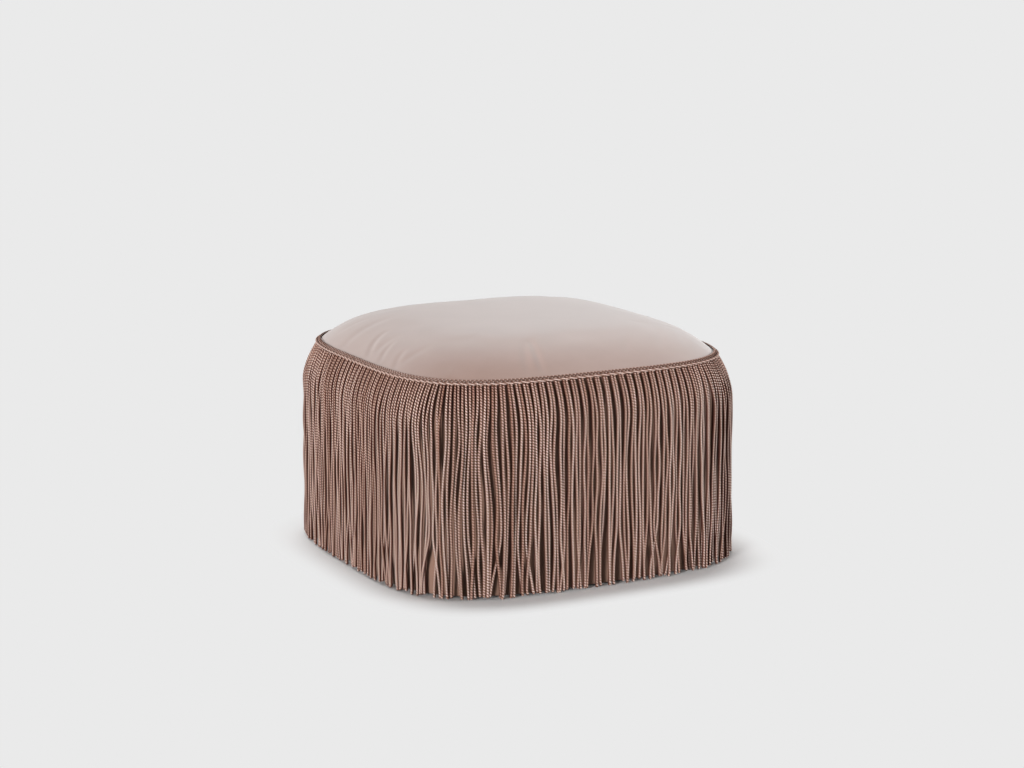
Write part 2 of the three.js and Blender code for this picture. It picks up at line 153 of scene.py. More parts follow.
class Loop:
    """A rounded square that is measured by its length, anticlockwise from the front right corner."""

    def __init__(self, half):
        self.half = half
        self.angles = np.linspace(0, FULL_TURN, OUTLINE_SAMPLES) - QUARTER_TURN / 2
        steps = np.linalg.norm(np.diff(outline(half, self.angles), axis=0), axis=1)
        self.lengths = np.concatenate([[0], np.cumsum(steps)])
        self.length = self.lengths[-1]
        self.side = self.length / len(SIDES)

    def points(self, places):
        return outline(self.half, np.interp(places % self.length, self.lengths, self.angles))

    def spaced(self, count):
        """Even places all round."""
        return np.linspace(0, self.length, count, endpoint=False)


def swept(loop, places, reaches, heights):
    """Rows of points outside a loop. Each row has its reach and its height, or one of them for each place."""
    shape = (len(heights), len(places))
    across = outset(np.broadcast_to(loop.points(places), (*shape, 2)), np.broadcast_to(reaches, shape))
    return np.concatenate([across, np.broadcast_to(heights, shape)[..., None]], -1)


def shoulder_share(height):
    return (np.maximum(0, height - SHOULDER_FOOT) / SHOULDER_DROP) ** 2


def cord_half(height):
    return HANG_HALF - SHOULDER_INSET * shoulder_share(height)


def panel_half(height):
    gap = HANG_GAP - (HANG_GAP - SEAM_GAP) * shoulder_share(height)
    return cord_half(height) - CORD_SOLID_DEPTH - gap


def crowded(shares):
    """Even shares of a side, moved towards the nearer corner."""
    return shares - CORNER_CROWDING_SHARE * np.sin(FULL_TURN * shares) / FULL_TURN


def waves(dice, down, around, whole, tall, wide):
    """Smooth noise with a spread of 1, in waves about that tall and wide. They meet again all round."""
    total = 0
    for _ in range(WAVE_COUNT):
        turns = round(whole / (wide * dice.uniform(*WAVE_RANGE)))
        rise = dice.choice([-1, 1]) * down / (tall * dice.uniform(*WAVE_RANGE))
        total = total + np.cos(FULL_TURN * (rise + turns * around / whole + dice.uniform()))
    return total * math.sqrt(2 / WAVE_COUNT)


def puckers(seed, down, around, whole):
    """Soft waves in cloth, from -1 to 1."""
    dice = np.random.default_rng(seed)
    return np.clip(waves(dice, down, around, whole, PUCKER_TALL, PUCKER_WIDE), -1, 1)


def eased(values, start, end):
    """0 before start, 1 after end and a smooth step between them."""
    share = np.clip((values - start) / (end - start), 0, 1)
    return share * share * (3 - 2 * share)


# Mesh helpers


def net_faces(rows, columns, closed=False, looped=False):
    """Four-sided faces of a net. A closed one's last column meets its first, a looped one's last row does."""
    row = np.arange(rows if looped else rows - 1)[:, None]
    column = np.arange(columns if closed else columns - 1)
    near, far = row * columns, (row + 1) % rows * columns
    after = (column + 1) % columns
    return np.stack([near + column, near + after, far + after, far + column], -1).reshape(-1, 4)


def add_piece(name, points, faces, edges=()):
    mesh = bpy.data.meshes.new(name)
    corners = faces if isinstance(faces, list) else faces.tolist()
    mesh.from_pydata(np.reshape(points, (-1, 3)).tolist(), edges, corners)
    mesh.shade_smooth()
    return add_object(name, mesh)


def add_object(name, data):
    made = bpy.data.objects.new(name, data)
    bpy.context.scene.collection.objects.link(made)
    return made


def baked(piece, name):
    """A plain mesh object of what the piece's modifiers make of it. The piece itself is removed."""
    evaluated = piece.evaluated_get(bpy.context.evaluated_depsgraph_get())
    mesh = bpy.data.meshes.new_from_object(evaluated)
    bpy.data.objects.remove(piece)
    mesh.name = name
    return add_object(name, mesh)


def thicken(piece, thickness):
    """Gives a sheet its thickness, inward from the face that shows."""
    solidify = piece.modifiers.new("Thickness", "SOLIDIFY")
    solidify.thickness = thickness
    solidify.offset = -1
    return baked(piece, piece.name)


def join(pieces):
    with bpy.context.temp_override(active_object=pieces[0], selected_editable_objects=pieces):
        bpy.ops.object.join()
    return pieces[0]


def fit(piece, slot, node, finish=None):
    """Gives a finished piece its place in the frame and, if it has none yet, its material."""
    if finish:
        piece.data.materials.clear()
        piece.data.materials.append(finish)
    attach(piece, BODY)
    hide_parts(node)


def stretched_sheet(piece, thickness, slot, node, finish):
    """Finishes a stretched sheet: its thickness and its material."""
    piece = thicken(piece, thickness)
    fit(piece, slot, node, finish)


def set_values(mesh, name, values):
    """Stores a number or a direction for each point of a mesh, which nodes and materials read by its name."""
    vector = values.size > len(mesh.vertices)
    attribute = mesh.attributes.new(name, "FLOAT_VECTOR" if vector else "FLOAT", "POINT")
    field = "vector" if vector else "value"
    attribute.data.foreach_set(field, np.ascontiguousarray(values, dtype=np.float32).ravel())


# Node helpers


def math_method(operation, mirrored=False):
    """A method that adds a Math node for a wire. A mirrored one takes the wire as its second value."""

    def method(wire, *others):
        values = (*others, wire) if mirrored else (wire, *others)
        return wire.graph.node("ShaderNodeMath", {"operation": operation}, values)

    return method


class Wire:
    """An output socket. A sum that it is used in adds Math nodes to its tree."""

    __add__, __radd__ = math_method("ADD"), math_method("ADD", mirrored=True)
    __sub__, __rsub__ = math_method("SUBTRACT"), math_method("SUBTRACT", mirrored=True)
    __mul__, __rmul__ = math_method("MULTIPLY"), math_method("MULTIPLY", mirrored=True)
    __truediv__, __rtruediv__ = math_method("DIVIDE"), math_method("DIVIDE", mirrored=True)
    __pow__, __rpow__ = math_method("POWER"), math_method("POWER", mirrored=True)
    __abs__ = math_method("ABSOLUTE")
    sine = math_method("SINE")
    arctan2 = math_method("ARCTAN2")
    at_most = math_method("MINIMUM")

    def __init__(self, graph, socket):
        self.graph = graph
        self.socket = socket

    def mixed(self, other, share):
        return (1 - share) * self + share * other

    def spread(self, low, high):
        """The wire, stretched so that its 0 is low and its 1 is high."""
        return low + (high - low) * self


class Graph:
    """A node tree that is built one node at a time."""

    def __init__(self, tree):
        self.tree = tree
        self.tree.nodes.clear()

    def node(self, kind, settings=None, sockets=(), output=0):
        """Adds a node: its type, its settings, then the values or wires of its sockets."""
        node = self.tree.nodes.new(kind)
        for name, value in (settings or {}).items():
            if name == "stops":
                self.set_stops(node.color_ramp, value)
            else:
                setattr(node, name, value)
        pairs = sockets.items() if isinstance(sockets, dict) else enumerate(sockets)
        for key, value in pairs:
            if isinstance(value, Wire):
                self.tree.links.new(value.socket, node.inputs[key])
            else:
                node.inputs[key].default_value = value
        return Wire(self, node.outputs[output]) if node.outputs else None

    def ramp(self, value, start, end):
        """0 before start, 1 after end and a smooth step between them."""
        return self.node("ShaderNodeMapRange", {"interpolation_type": "SMOOTHSTEP"}, [value, start, end])

    def axis(self, vector, name):
        return self.node("ShaderNodeSeparateXYZ", {}, [vector], output=name)

    def set_stops(self, ramp, stops):
        while len(ramp.elements) < len(stops):
            ramp.elements.new(0)
        for element, (place, shade) in zip(ramp.elements, stops):
            element.position = place
            element.color = (*shade, 1)


BAND_SCALE = math.pi / 10  # scale of a wave texture with bands a metre apart


class Paint(Graph):
    """A material's nodes, which end in a Principled shader."""

    def __init__(self, name):
        self.material = bpy.data.materials.new(name)
        self.material.use_nodes = True
        super().__init__(self.material.node_tree)
        self.place = self.node("ShaderNodeTexCoord", output="Object")

    def noise(self, size, detail=2.0, rough=0.5, stretch=(1, 1, 1)):
        """Noise whose patches are about that size in metres."""
        place = self.node("ShaderNodeMapping", {}, {"Vector": self.place, "Scale": stretch})
        sockets = {"Vector": place, "Scale": 1 / size, "Detail": detail, "Roughness": rough}
        return self.node("ShaderNodeTexNoise", {}, sockets)

    def weave(self, pitch, axis, distortion=0.6):
        """Threads across one axis, a pitch apart."""
        settings = {"wave_type": "BANDS", "bands_direction": axis, "wave_profile": "SIN"}
        sockets = {"Vector": self.place, "Scale": BAND_SCALE / pitch, "Distortion": distortion, "Detail": 1.0}
        return self.node("ShaderNodeTexWave", settings, sockets)

    def attribute(self, name, output="Fac"):
        return self.node("ShaderNodeAttribute", {"attribute_name": name}, output=output)

    def blend(self, one, other, share, way="MIX"):
        """Two colours, written out or wired, mixed or multiplied by that share."""
        ends = [end if isinstance(end, Wire) else (*end, 1) for end in (one, other)]
        settings = {"data_type": "RGBA", "blend_type": way}
        return self.node("ShaderNodeMix", settings, {0: share, 6: ends[0], 7: ends[1]}, output=2)

    def shades(self, colour, low, high, share):
        """A colour that varies from low to high times its brightness."""
        return self.blend(scaled(colour, low), scaled(colour, high), share)

    def bump(self, height, depth, strength=1.0):
        return self.node("ShaderNodeBump", {}, {"Height": height, "Distance": depth, "Strength": strength})

    def finish(self, colour, normal, **sockets):
        """Ends the material. Other sockets are named in small letters."""
        named = {key.replace("_", " ").title().replace("Ior", "IOR"): value for key, value in sockets.items()}
        shader = self.node("ShaderNodeBsdfPrincipled", {}, {"Base Color": colour, "Normal": normal, **named})
        self.node("ShaderNodeOutputMaterial", {}, {"Surface": shader})
        return self.material


def scaled(colour, share):
    return tuple(share * value for value in colour)


# Finishes

SHEEN_PAINT_PALE = (0.90, 0.90, 0.90)  # painted sheen: the pale colour that velvet turns towards where it is seen edge-on
SHEEN_PAINT_POWER = 1.62  # how that painted sheen grows, from 0 for velvet seen square to 1 for its edge
RIGHT_LIGHT_PAINT_SLOPE = 0.296  # painted light: how much paler the velvet is painted with each metre to the right
RIGHT_LIGHT_PAINT_WANDER = 0.06  # how far the edge of that painted light wanders, in metres
CREASE_SHADE_PAINT = 2.2  # painted light and shade: how much the slope of a crease paints the velvet lighter on one side and darker on the other
CREST_HIGHLIGHT_POWER = 2.6  # how narrow the painted highlight on the crest of a ply is
RIDGE_POWER = 0.7  # how round a ply stands
BODY_STOP = 0.42  # how far from the groove to the crest the body of the thread is
FIBRE_SIZE = 0.0006
FIBRE_RANGE = (0.86, 1.14)  # how much the fibres darken and lighten a crest
FIBRE_RELIEF = 0.12  # height of the fibres, against that of a ply
CORD_DEEP = (0.65, 0.51, 0.44)  # tint of a cord that hangs deep
TRIM_UNDER_SHADE = (0.36, 0.25, 0.20)  # painted shade: tint of a strand where it runs under the others
INWARD_SHADE_PAINT = (0.36, 1.0)  # painted shade: thread that faces outward less than the first value keeps the dark groove colour, and it is painted up to its full colours by the second
MOTTLE_SIZE = 30  # size of the patches in foam and fibre, in cells


def velvet_finish(name, colour, painted_sheen, right_light_paint):
    """Short pile. Its colour carries painted sheen where it is seen edge-on, painted light growing towards
    the right, and painted light and shade on the slopes of its creases.
    """
    paint = Paint(name)
    brushed = paint.noise(size=0.055, detail=3.0, stretch=(1, 1, 2))
    pile = paint.noise(size=0.0011)
    # Random mottle of the pile, plus painted light and shade on the slopes of the creases
    share = brushed.mixed(pile, share=0.35) + CREASE_SHADE_PAINT * paint.attribute("lean")
    # Painted sheen: how edge-on the velvet is seen, which pales its colour
    edge = paint.node("ShaderNodeLayerWeight", {}, {"Blend": 0.5}, output="Facing")
    # Painted light that grows towards the right, with a wandering edge
    painted_right_light = paint.axis(paint.place, "X") + RIGHT_LIGHT_PAINT_WANDER * brushed
    painted_sheen_share = painted_sheen * edge**SHEEN_PAINT_POWER + right_light_paint * painted_right_light
    colour = paint.blend(paint.shades(colour, 0.88, 1.12, share), SHEEN_PAINT_PALE, painted_sheen_share)
    relief = paint.bump(pile + brushed / 2, depth=0.00025, strength=0.5)
    return paint.finish(colour, relief, roughness=0.9, specular_ior_level=0.0)


def cord_finish(name, colours, plies, lay, depth, deep):
    """Twisted or wrapped thread, with painted shade in the grooves between its plies and on its sides that
    face inward, and a painted highlight on the crests. It follows the section and length that are stored
    along each strand.
    """
    paint = Paint(name)
    thread, body, groove_shade = colours
    section = paint.attribute("section", "Vector")
    angle = paint.axis(section, "Y").arctan2(paint.axis(section, "X"))
    twist = plies / 2 * angle + math.pi * plies / lay * paint.attribute("along")
    ridge = abs(twist.sine())
    fibres = paint.noise(FIBRE_SIZE, detail=1.0)
    # Painted shade on the sides of cords and strands that face inward or aside
    outward_lit_share = paint.ramp(paint.attribute("front"), *INWARD_SHADE_PAINT)
    share = ridge**CREST_HIGHLIGHT_POWER * fibres.spread(*FIBRE_RANGE) * outward_lit_share
    # Painted shade in the grooves, the thread's own colour as its body, and a painted highlight on the crests
    stops = [(0, groove_shade), (BODY_STOP, body), (1, thread)]
    twisted = paint.node("ShaderNodeValToRGB", {"stops": stops}, [share])
    # Random tone for the cords, and painted shade where the trim's strands run under each other
    tint = paint.blend(deep, (1, 1, 1), paint.attribute("tone"))
    relief = paint.bump(ridge**RIDGE_POWER + FIBRE_RELIEF * fibres, depth)
    colour = paint.blend(twisted, tint, 1.0, "MULTIPLY")
    return paint.finish(colour, relief, roughness=0.48, specular_ior_level=0.3)


def tape_finish(colour):
    paint = Paint("heading_tape")
    ribs = paint.weave(0.0011, "DIAGONAL")
    return paint.finish(paint.shades(colour, 0.55, 1, ribs), paint.bump(ribs, depth=0.0002), roughness=0.75)


def cloth_finish(name, dark, light, pitch):
    """Plain weave of flat threads."""
    paint = Paint(name)
    warp, weft = paint.weave(pitch, "X"), paint.weave(pitch, "Y")
    over = warp * weft + (1 - warp) * (1 - weft)
    colour = paint.blend(dark, light, over.mixed(paint.noise(size=0.004), share=0.3))
    return paint.finish(colour, paint.bump(over, depth=0.0003), roughness=0.9)


def fibre_finish(name, dark, light, size, depth):
    """Foam, wadding and bonded fibre."""
    paint = Paint(name)
    cells = paint.noise(size, detail=3.0, rough=0.7)
    colour = paint.blend(dark, light, cells.mixed(paint.noise(MOTTLE_SIZE * size), share=0.4))
    return paint.finish(colour, paint.bump(cells, depth), roughness=0.95)


def foam_finish():
    return fibre_finish("seat_foam_cells", (0.62, 0.52, 0.28), (0.86, 0.77, 0.50), size=0.0010, depth=0.0004)


def wadding_finish():
    return fibre_finish("wadding_fibre", (0.66, 0.66, 0.64), (0.88, 0.88, 0.86), size=0.0024, depth=0.0008)


def dust_finish():
    return fibre_finish("dust_cloth", (0.008, 0.008, 0.009), (0.028, 0.028, 0.030), size=0.0009, depth=0.0002)


def webbing_finish():
    return cloth_finish("jute_webbing", (0.012, 0.011, 0.010), (0.06, 0.052, 0.045), pitch=0.0018)


def hessian_finish():
    return cloth_finish("hessian_cloth", (0.22, 0.14, 0.06), (0.56, 0.42, 0.24), pitch=0.0016)


def plywood_finish():
    """Birch: grain along one axis and the dark lines of the glued veneers up its edges."""
    paint = Paint("birch_ply")
    grain = paint.noise(size=0.02, detail=5.0, rough=0.6, stretch=(1, 9, 9))
    flecks = paint.noise(size=0.003, stretch=(1, 12, 12))
    veneers = paint.weave(0.0015, "Z", distortion=0.2)
    share = grain.mixed(flecks, share=4 / 15).mixed(veneers, share=0.25)
    colour = paint.blend((0.42, 0.27, 0.14), (0.72, 0.54, 0.33), share)
    return paint.finish(colour, paint.bump(flecks, depth=0.0002), roughness=grain.spread(0.55, 0.75))


def hardboard_finish():
    paint = Paint("pressed_board")
    fibres = paint.noise(size=0.0018, detail=4.0, rough=0.65)
    share = fibres.mixed(paint.noise(size=0.04), share=0.5)
    colour = paint.blend((0.10, 0.055, 0.028), (0.26, 0.155, 0.085), share)
    return paint.finish(colour, paint.bump(fibres, depth=0.00015), roughness=fibres.spread(0.6, 0.8))


def plastic_finish():
    paint = Paint("glide_plastic")
    grit = paint.noise(size=0.0008)
    colour = paint.shades((0.018, 0.018, 0.019), 0.7, 1.4, grit)
    return paint.finish(colour, paint.bump(grit, depth=0.00008), roughness=grit.spread(0.38, 0.58))


def steel_finish():
    """Zinc-plated steel, drawn along one axis."""
    paint = Paint("zinc_steel")
    drawn = paint.noise(size=0.0015, detail=3.0, stretch=(1, 1, 6))
    colour = paint.shades((0.52, 0.53, 0.55), 0.8, 1, drawn)
    relief = paint.bump(drawn, depth=0.00004)
    return paint.finish(colour, relief, metallic=1.0, roughness=drawn.spread(0.25, 0.45))


# Geometry node trees


class Shape(Graph):
    """A geometry node tree with named inputs, which ends in Realize Instances and Set Material."""

    KINDS = {float: "NodeSocketFloat", int: "NodeSocketInt"}

    def __init__(self, name, sizes):
        super().__init__(bpy.data.node_groups.new(name, "GeometryNodeTree"))
        self.sizes = sizes
        face = self.tree.interface
        face.new_socket("Path", in_out="INPUT", socket_type="NodeSocketGeometry")
        for title, value in sizes.items():
            face.new_socket(title, in_out="INPUT", socket_type=self.KINDS[type(value)])
        face.new_socket("Finish", in_out="INPUT", socket_type="NodeSocketMaterial")
        face.new_socket("Mesh", in_out="OUTPUT", socket_type="NodeSocketGeometry")
        self.inputs = self.tree.nodes.new("NodeGroupInput")

    def size(self, title):
        return Wire(self, self.inputs.outputs[title])

    def value(self, name, kind="FLOAT"):
        return self.node("GeometryNodeInputNamedAttribute", {"data_type": kind}, {"Name": name})

    def store(self, geometry, name, kind, value):
        settings = {"data_type": kind, "domain": "POINT"}
        sockets = {"Geometry": geometry, "Name": name, "Value": value}
        return self.node("GeometryNodeStoreNamedAttribute", settings, sockets)

    def vector(self, operation, *values, output=0):
        return self.node("ShaderNodeVectorMath", {"operation": operation}, values, output)

    def scaled(self, name, amount):
        """A stored direction, made that long."""
        sockets = {0: self.value(name, "FLOAT_VECTOR"), "Scale": amount}
        return self.node("ShaderNodeVectorMath", {"operation": "SCALE"}, sockets)

    def paths(self):
        """The guide lines that come in, as curves."""
        return self.node("GeometryNodeMeshToCurve", {}, {"Mesh": self.size("Path")})

    def sweep(self, curves, girth):
        """Round strands on the curves, with the length and the section stored for their finish."""
        length = self.node("GeometryNodeSplineParameter", output="Length")
        curves = self.store(curves, "along", "FLOAT", length + self.value("start"))
        sockets = {0: self.size("Sides"), 4: 1.0}
        circle = self.node("GeometryNodeCurvePrimitiveCircle", {"mode": "RADIUS"}, sockets)
        circle = self.store(circle, "section", "FLOAT_VECTOR", self.node("GeometryNodeInputPosition"))
        scale = self.size("Radius") * girth
        sockets = {"Curve": curves, "Profile Curve": circle, "Scale": scale, "Fill Caps": True}
        strands = self.node("GeometryNodeCurveToMesh", {}, sockets)
        normal = self.node("GeometryNodeInputNormal")
        front = self.vector("DOT_PRODUCT", normal, self.value("facing", "FLOAT_VECTOR"), output="Value")
        return self.store(strands, "front", "FLOAT", front)

    def close(self, geometry):
        smooth = self.node("GeometryNodeSetShadeSmooth", {}, {"Geometry": geometry})
        real = self.node("GeometryNodeRealizeInstances", {}, {"Geometry": smooth})
        sockets = {"Geometry": real, "Material": self.size("Finish")}
        finished = self.node("GeometryNodeSetMaterial", {}, sockets)
        output = self.tree.nodes.new("NodeGroupOutput")
        self.tree.links.new(finished.socket, output.inputs["Mesh"])
        return self

    def applied(self, guide, name, finish):
        """The plain mesh object that the tree makes of a guide."""
        modifier = guide.modifiers.new(name, "NODES")
        modifier.node_group = self.tree
        values = {**self.sizes, "Finish": finish}
        for socket in self.tree.interface.items_tree:
            if socket.in_out == "INPUT" and socket.name in values:
                modifier[socket.identifier] = values[socket.name]
        return baked(guide, name)


CORD_SIDES = 8
TRIM_SIDES = 6
TRIM_STRANDS = 2
UNDER_SHADE_RANGE = (-0.2, 0.6)  # painted shade: strands that lie lower than this are painted dark, and those that lie higher are light


def cord_shape(radius):
    """Plain strands, as thick as their girth says."""
    shape = Shape("hanging_cords", {"Radius": radius, "Sides": CORD_SIDES})
    return shape.close(shape.sweep(shape.paths(), shape.value("girth")))


def trim_shape(name, width, thickness, front, radius):
    """Strands wound round a path, painted darker where they run under each other. With a front of 1 they are
    darkest at the back, and with 0 underneath.
    """
    sizes = {"Strands": TRIM_STRANDS, "Width": width, "Thickness": thickness, "Front": front}
    shape = Shape(name, {**sizes, "Radius": radius, "Sides": TRIM_SIDES})
    copies = shape.tree.nodes.new("GeometryNodeDuplicateElements")
    copies.domain = "SPLINE"
    shape.tree.links.new(shape.paths().socket, copies.inputs["Geometry"])
    shape.tree.links.new(shape.size("Strands").socket, copies.inputs["Amount"])
    strand = Wire(shape, copies.outputs["Duplicate Index"])
    turn = FULL_TURN * (shape.value("turns") + strand / shape.size("Strands"))
    swing = (turn + QUARTER_TURN).sine() * shape.size("Width")
    lift = turn.sine() * shape.size("Thickness")
    offset = shape.vector("ADD", shape.scaled("across", swing), shape.scaled("upward", lift))
    sockets = {"Geometry": Wire(shape, copies.outputs["Geometry"]), "Offset": offset}
    wound = shape.node("GeometryNodeSetPosition", {}, sockets)
    raised = (turn + QUARTER_TURN * shape.size("Front")).sine()
    # Painted shade on the strands where they run under each other
    wound = shape.store(wound, "tone", "FLOAT", shape.ramp(raised, *UNDER_SHADE_RANGE))
    return shape.close(shape.sweep(wound, 1.0))


# Settings


def length_setting(name, description, default):
    limits = {"min": 0, "unit": "LENGTH", "precision": 4}
    return FloatProperty(name=name, description=description, default=default, **limits)


def share_setting(name, description, default):
    return FloatProperty(name=name, description=description, default=default, min=0, max=1, subtype="FACTOR")


def colour_setting(name, description, default):
    limits = {"size": 3, "min": 0, "max": 1, "subtype": "COLOR"}
    return FloatVectorProperty(name=name, description=description, default=default, **limits)


class TuffetSeat(bpy.types.PropertyGroup):
    pile: colour_setting("Pile", "Colour of the seat's velvet", (0.320, 0.220, 0.188))
    # Painted sheen: how far the seat velvet's colour is paled where it is seen edge-on
    painted_sheen: share_setting("Bloom", "How pale the velvet turns where it is seen along its pile", 0.605)
    velvet: length_setting("Velvet", "Thickness of the seat cover", 0.0012)
    pressure: FloatProperty(name="Pressure", description="Push of the filling on the cover", default=3.5)
    swell: length_setting("Swell", "How far the cloth may move from its crown", 0.0008)
    creases: share_setting("Creases", "Depth of the creases, against those of the photograph", 1.0)
    pulls: IntProperty(name="Pulls", description="Small pull marks round the rim", default=22, min=0)


class TuffetPanel(bpy.types.PropertyGroup):
    pile: colour_setting("Pile", "Colour of the side panel's velvet", (0.30, 0.175, 0.130))
    # Painted sheen: how far the panel velvet's colour is paled where it is seen edge-on
    painted_sheen: share_setting("Bloom", "How pale the velvet turns where it is seen along its pile", 0.15)
    velvet: length_setting("Velvet", "Thickness of the side panel's velvet", 0.0015)
    hem: length_setting("Hem Radius", "Roundness of the bottom edge", 0.004)
    hem_height: length_setting("Hem Height", "Floor to the rolled bottom edge", 0.0024)
    turn_in: length_setting("Turn-in", "How far the hem runs in under the frame", 0.038)
    puckers: length_setting("Puckers", "Height of the soft waves in the panel", 0.00035)


class TuffetFringe(bpy.types.PropertyGroup):
    # Painted highlight: the near-white colour on the crests of the plies
    thread: colour_setting("Thread", "Colour of the cords, on the crests of their plies", (1.0, 0.89, 0.84))
    body: colour_setting("Body", "Colour of the cords beside the crests", (0.535, 0.305, 0.226))
    # Painted shade: the dark colour between the plies
    groove_shade: colour_setting("Groove", "Colour between the plies of a cord", (0.075, 0.019, 0.010))
    rope_body: colour_setting("Rope Body", "Colour of the rope beside its crests", (0.80, 0.57, 0.49))
    # Painted shade: the dark colour between the rope's wraps
    rope_groove_shade: colour_setting("Rope Groove", "Colour between the rope's wraps", (0.30, 0.16, 0.12))
    pairs: IntProperty(name="Pairs", description="Pairs of cords on each side", default=40, min=4)
    cord: length_setting("Cord", "Diameter of a cord", 0.0045)
    pair_gap: length_setting("Pair Gap", "Between the middles of a pair's cords, at the heading", 0.0047)
    spread: length_setting("Spread", "Between the middles of a pair's cords, lower down", 0.0058)
    opening: length_setting("Opening", "How far the two cords of a pair part on their way down", 0.0007)
    lay: length_setting("Lay", "Length of one full turn of a cord's plies", 0.0084)
    sway: length_setting("Sway", "How far groups of pairs wander sideways", 0.0034)
    stray: length_setting("Stray", "How far a single pair wanders sideways", 0.0010)
    splay: length_setting("Splay", "How far the two tips of a pair spread", 0.0048)
    depth: length_setting("Depth", "How far pairs hang in front of or behind each other", 0.0005)
    tip: length_setting("Tip Height", "Floor to the tips, on average", 0.0030)
    uneven: length_setting("Unevenness", "How far a tip may be above or below that", 0.0027)
    rope: length_setting("Heading Rope", "Thickness of the rope over the cords", 0.0046)
    seed: IntProperty(name="Seed", description="Changes how the cords happen to hang", default=7)


class TuffetBraid(bpy.types.PropertyGroup):
    # Painted highlight: the near-white colour on the crests of the braid's wraps
    thread: colour_setting("Thread", "Colour of the braid, on the crests of its wraps", (1.0, 0.90, 0.86))
    body: colour_setting("Body", "Colour of the braid beside the crests", (0.78, 0.54, 0.46))
    # Painted shade: the dark colour between the braid's wraps
    groove_shade: colour_setting("Groove", "Colour between the wraps of the braid's strands", (0.26, 0.14, 0.10))
    twists: IntProperty(name="Twists", description="Full twists of its strands in all", default=158, min=8)
    width: length_setting("Width", "Width of the braid", 0.0062)
    strand: length_setting("Strand", "Diameter of one strand", 0.0019)


class TuffetDeck(bpy.types.PropertyGroup):
    web: length_setting("Web", "Thickness of a web", 0.0016)
    cloth: length_setting("Cloth", "Thickness of the hessian and of the dust cover", 0.0006)
    slack: length_setting("Slack", "How far those two cloths hang slack", 0.0003)


class TuffetStage(bpy.types.PropertyGroup):
    backdrop: colour_setting("Backdrop", "Colour of the floor and the background", (0.8228, 0.8228, 0.8228))
    sky: FloatProperty(name="Sky", description="Strength of the even light from all round", default=0.15)
    overhead: FloatProperty(name="Overhead", description="Strength of the soft lamp overhead", default=2.1)
    key: FloatProperty(name="Key", description="Strength of the lamp from the front left", default=3.0)
    side: FloatProperty(name="Side", description="Strength of the lamp from the front right", default=2.3)


# Seat

SEAT_POINTS = 141
SEAT_SEED = 11
CREASE_SLOPE_REACH = 0.0015  # how far apart the slope of a crease is measured, to each side
RIM_PACKING_SHARE = 0.5  # how much closer the net's lines lie at the rim
CLOTH_FRAMES = 20
CLOTH_STIFFNESS = 12
CLOTH_SOFTENING = 30
CREASE_SAMPLES = 24
CREASE_BANK_SHARE = 0.35  # height of the banks beside a crease, against its depth
CREASE_BANK_WIDTH = 1.9  # width of the banks, in widths of the crease

# Creases seen in the photograph: start, bend, end, width, and depth, which is below zero for a ridge
CREASES = [
    ((-0.216, 0.013), (-0.246, 0.004), (-0.264, -0.030), 0.0060, 0.0018),
    ((-0.230, -0.046), (-0.249, -0.053), (-0.262, -0.070), 0.0055, 0.0015),
    ((-0.237, -0.098), (-0.252, -0.106), (-0.261, -0.121), 0.0060, 0.0012),
    ((-0.072, -0.190), (-0.082, -0.228), (-0.088, -0.258), 0.0060, 0.0024),
    ((-0.011, -0.087), (-0.046, -0.160), (-0.068, -0.217), 0.0140, -0.0010),
    ((-0.083, -0.195), (-0.104, -0.232), (-0.111, -0.258), 0.0070, 0.0018),
    ((0.084, -0.211), (0.072, -0.228), (0.065, -0.242), 0.0080, 0.0010),
    ((0.157, -0.186), (0.142, -0.212), (0.130, -0.234), 0.0080, 0.0009),
    ((0.205, -0.168), (0.190, -0.196), (0.180, -0.220), 0.0080, 0.0009),
]
PULL_LENGTH = (0.030, 0.085)
PULL_WIDTH = (0.006, 0.012)
PULL_DEPTH = (0.0005, 0.0014)
PULL_RIM = (0.90, 0.97)  # where a pull mark ends, as shares of the seat's half width
PULL_LEAN = 0.35  # how far a pull mark leans along the rim, as a share of its length
SEEN_ARC = (-2.75, -0.75)  # the rim that the photograph shows, as angles


def seat_net(count):
    """A square net of points, pulled to the rounded square. Its half width is 1 at the rim."""
    line = np.linspace(-1, 1, count)
    square = np.stack(np.meshgrid(line, line), -1)
    reach = np.abs(square).max(-1)
    packed = (1 - RIM_PACKING_SHARE) * reach + RIM_PACKING_SHARE * np.sin(reach * QUARTER_TURN)
    share = np.divide(packed, half_at(square), out=np.zeros_like(packed), where=reach > 0)
    return square * share[..., None]


def crown(net, half, top):
    """The net as a dome over the rounded square, which starts at the height of the seam."""
    height = SEAM + (top - SEAM) * (1 - half_at(net) ** CROWN_POWER)
    return np.concatenate([net * half, height[..., None]], -1)


def crease_height(places, start, bend, end, width, depth):
    """How far one crease moves the points at those places up or down."""
    share = np.linspace(0, 1, CREASE_SAMPLES)[:, None]
    line = (1 - share) ** 2 * start + 2 * share * (1 - share) * bend + share**2 * end
    away = np.linalg.norm(places[:, None] - line, axis=-1)
    nearest = away.argmin(1)
    fade = np.sqrt(np.sin(math.pi * (nearest + 1) / (CREASE_SAMPLES + 1)))
    ratio = (away.min(1) / width) ** 2
    bank = CREASE_BANK_SHARE * np.exp(-ratio / CREASE_BANK_WIDTH**2)
    return depth * fade * (bank - np.exp(-ratio))


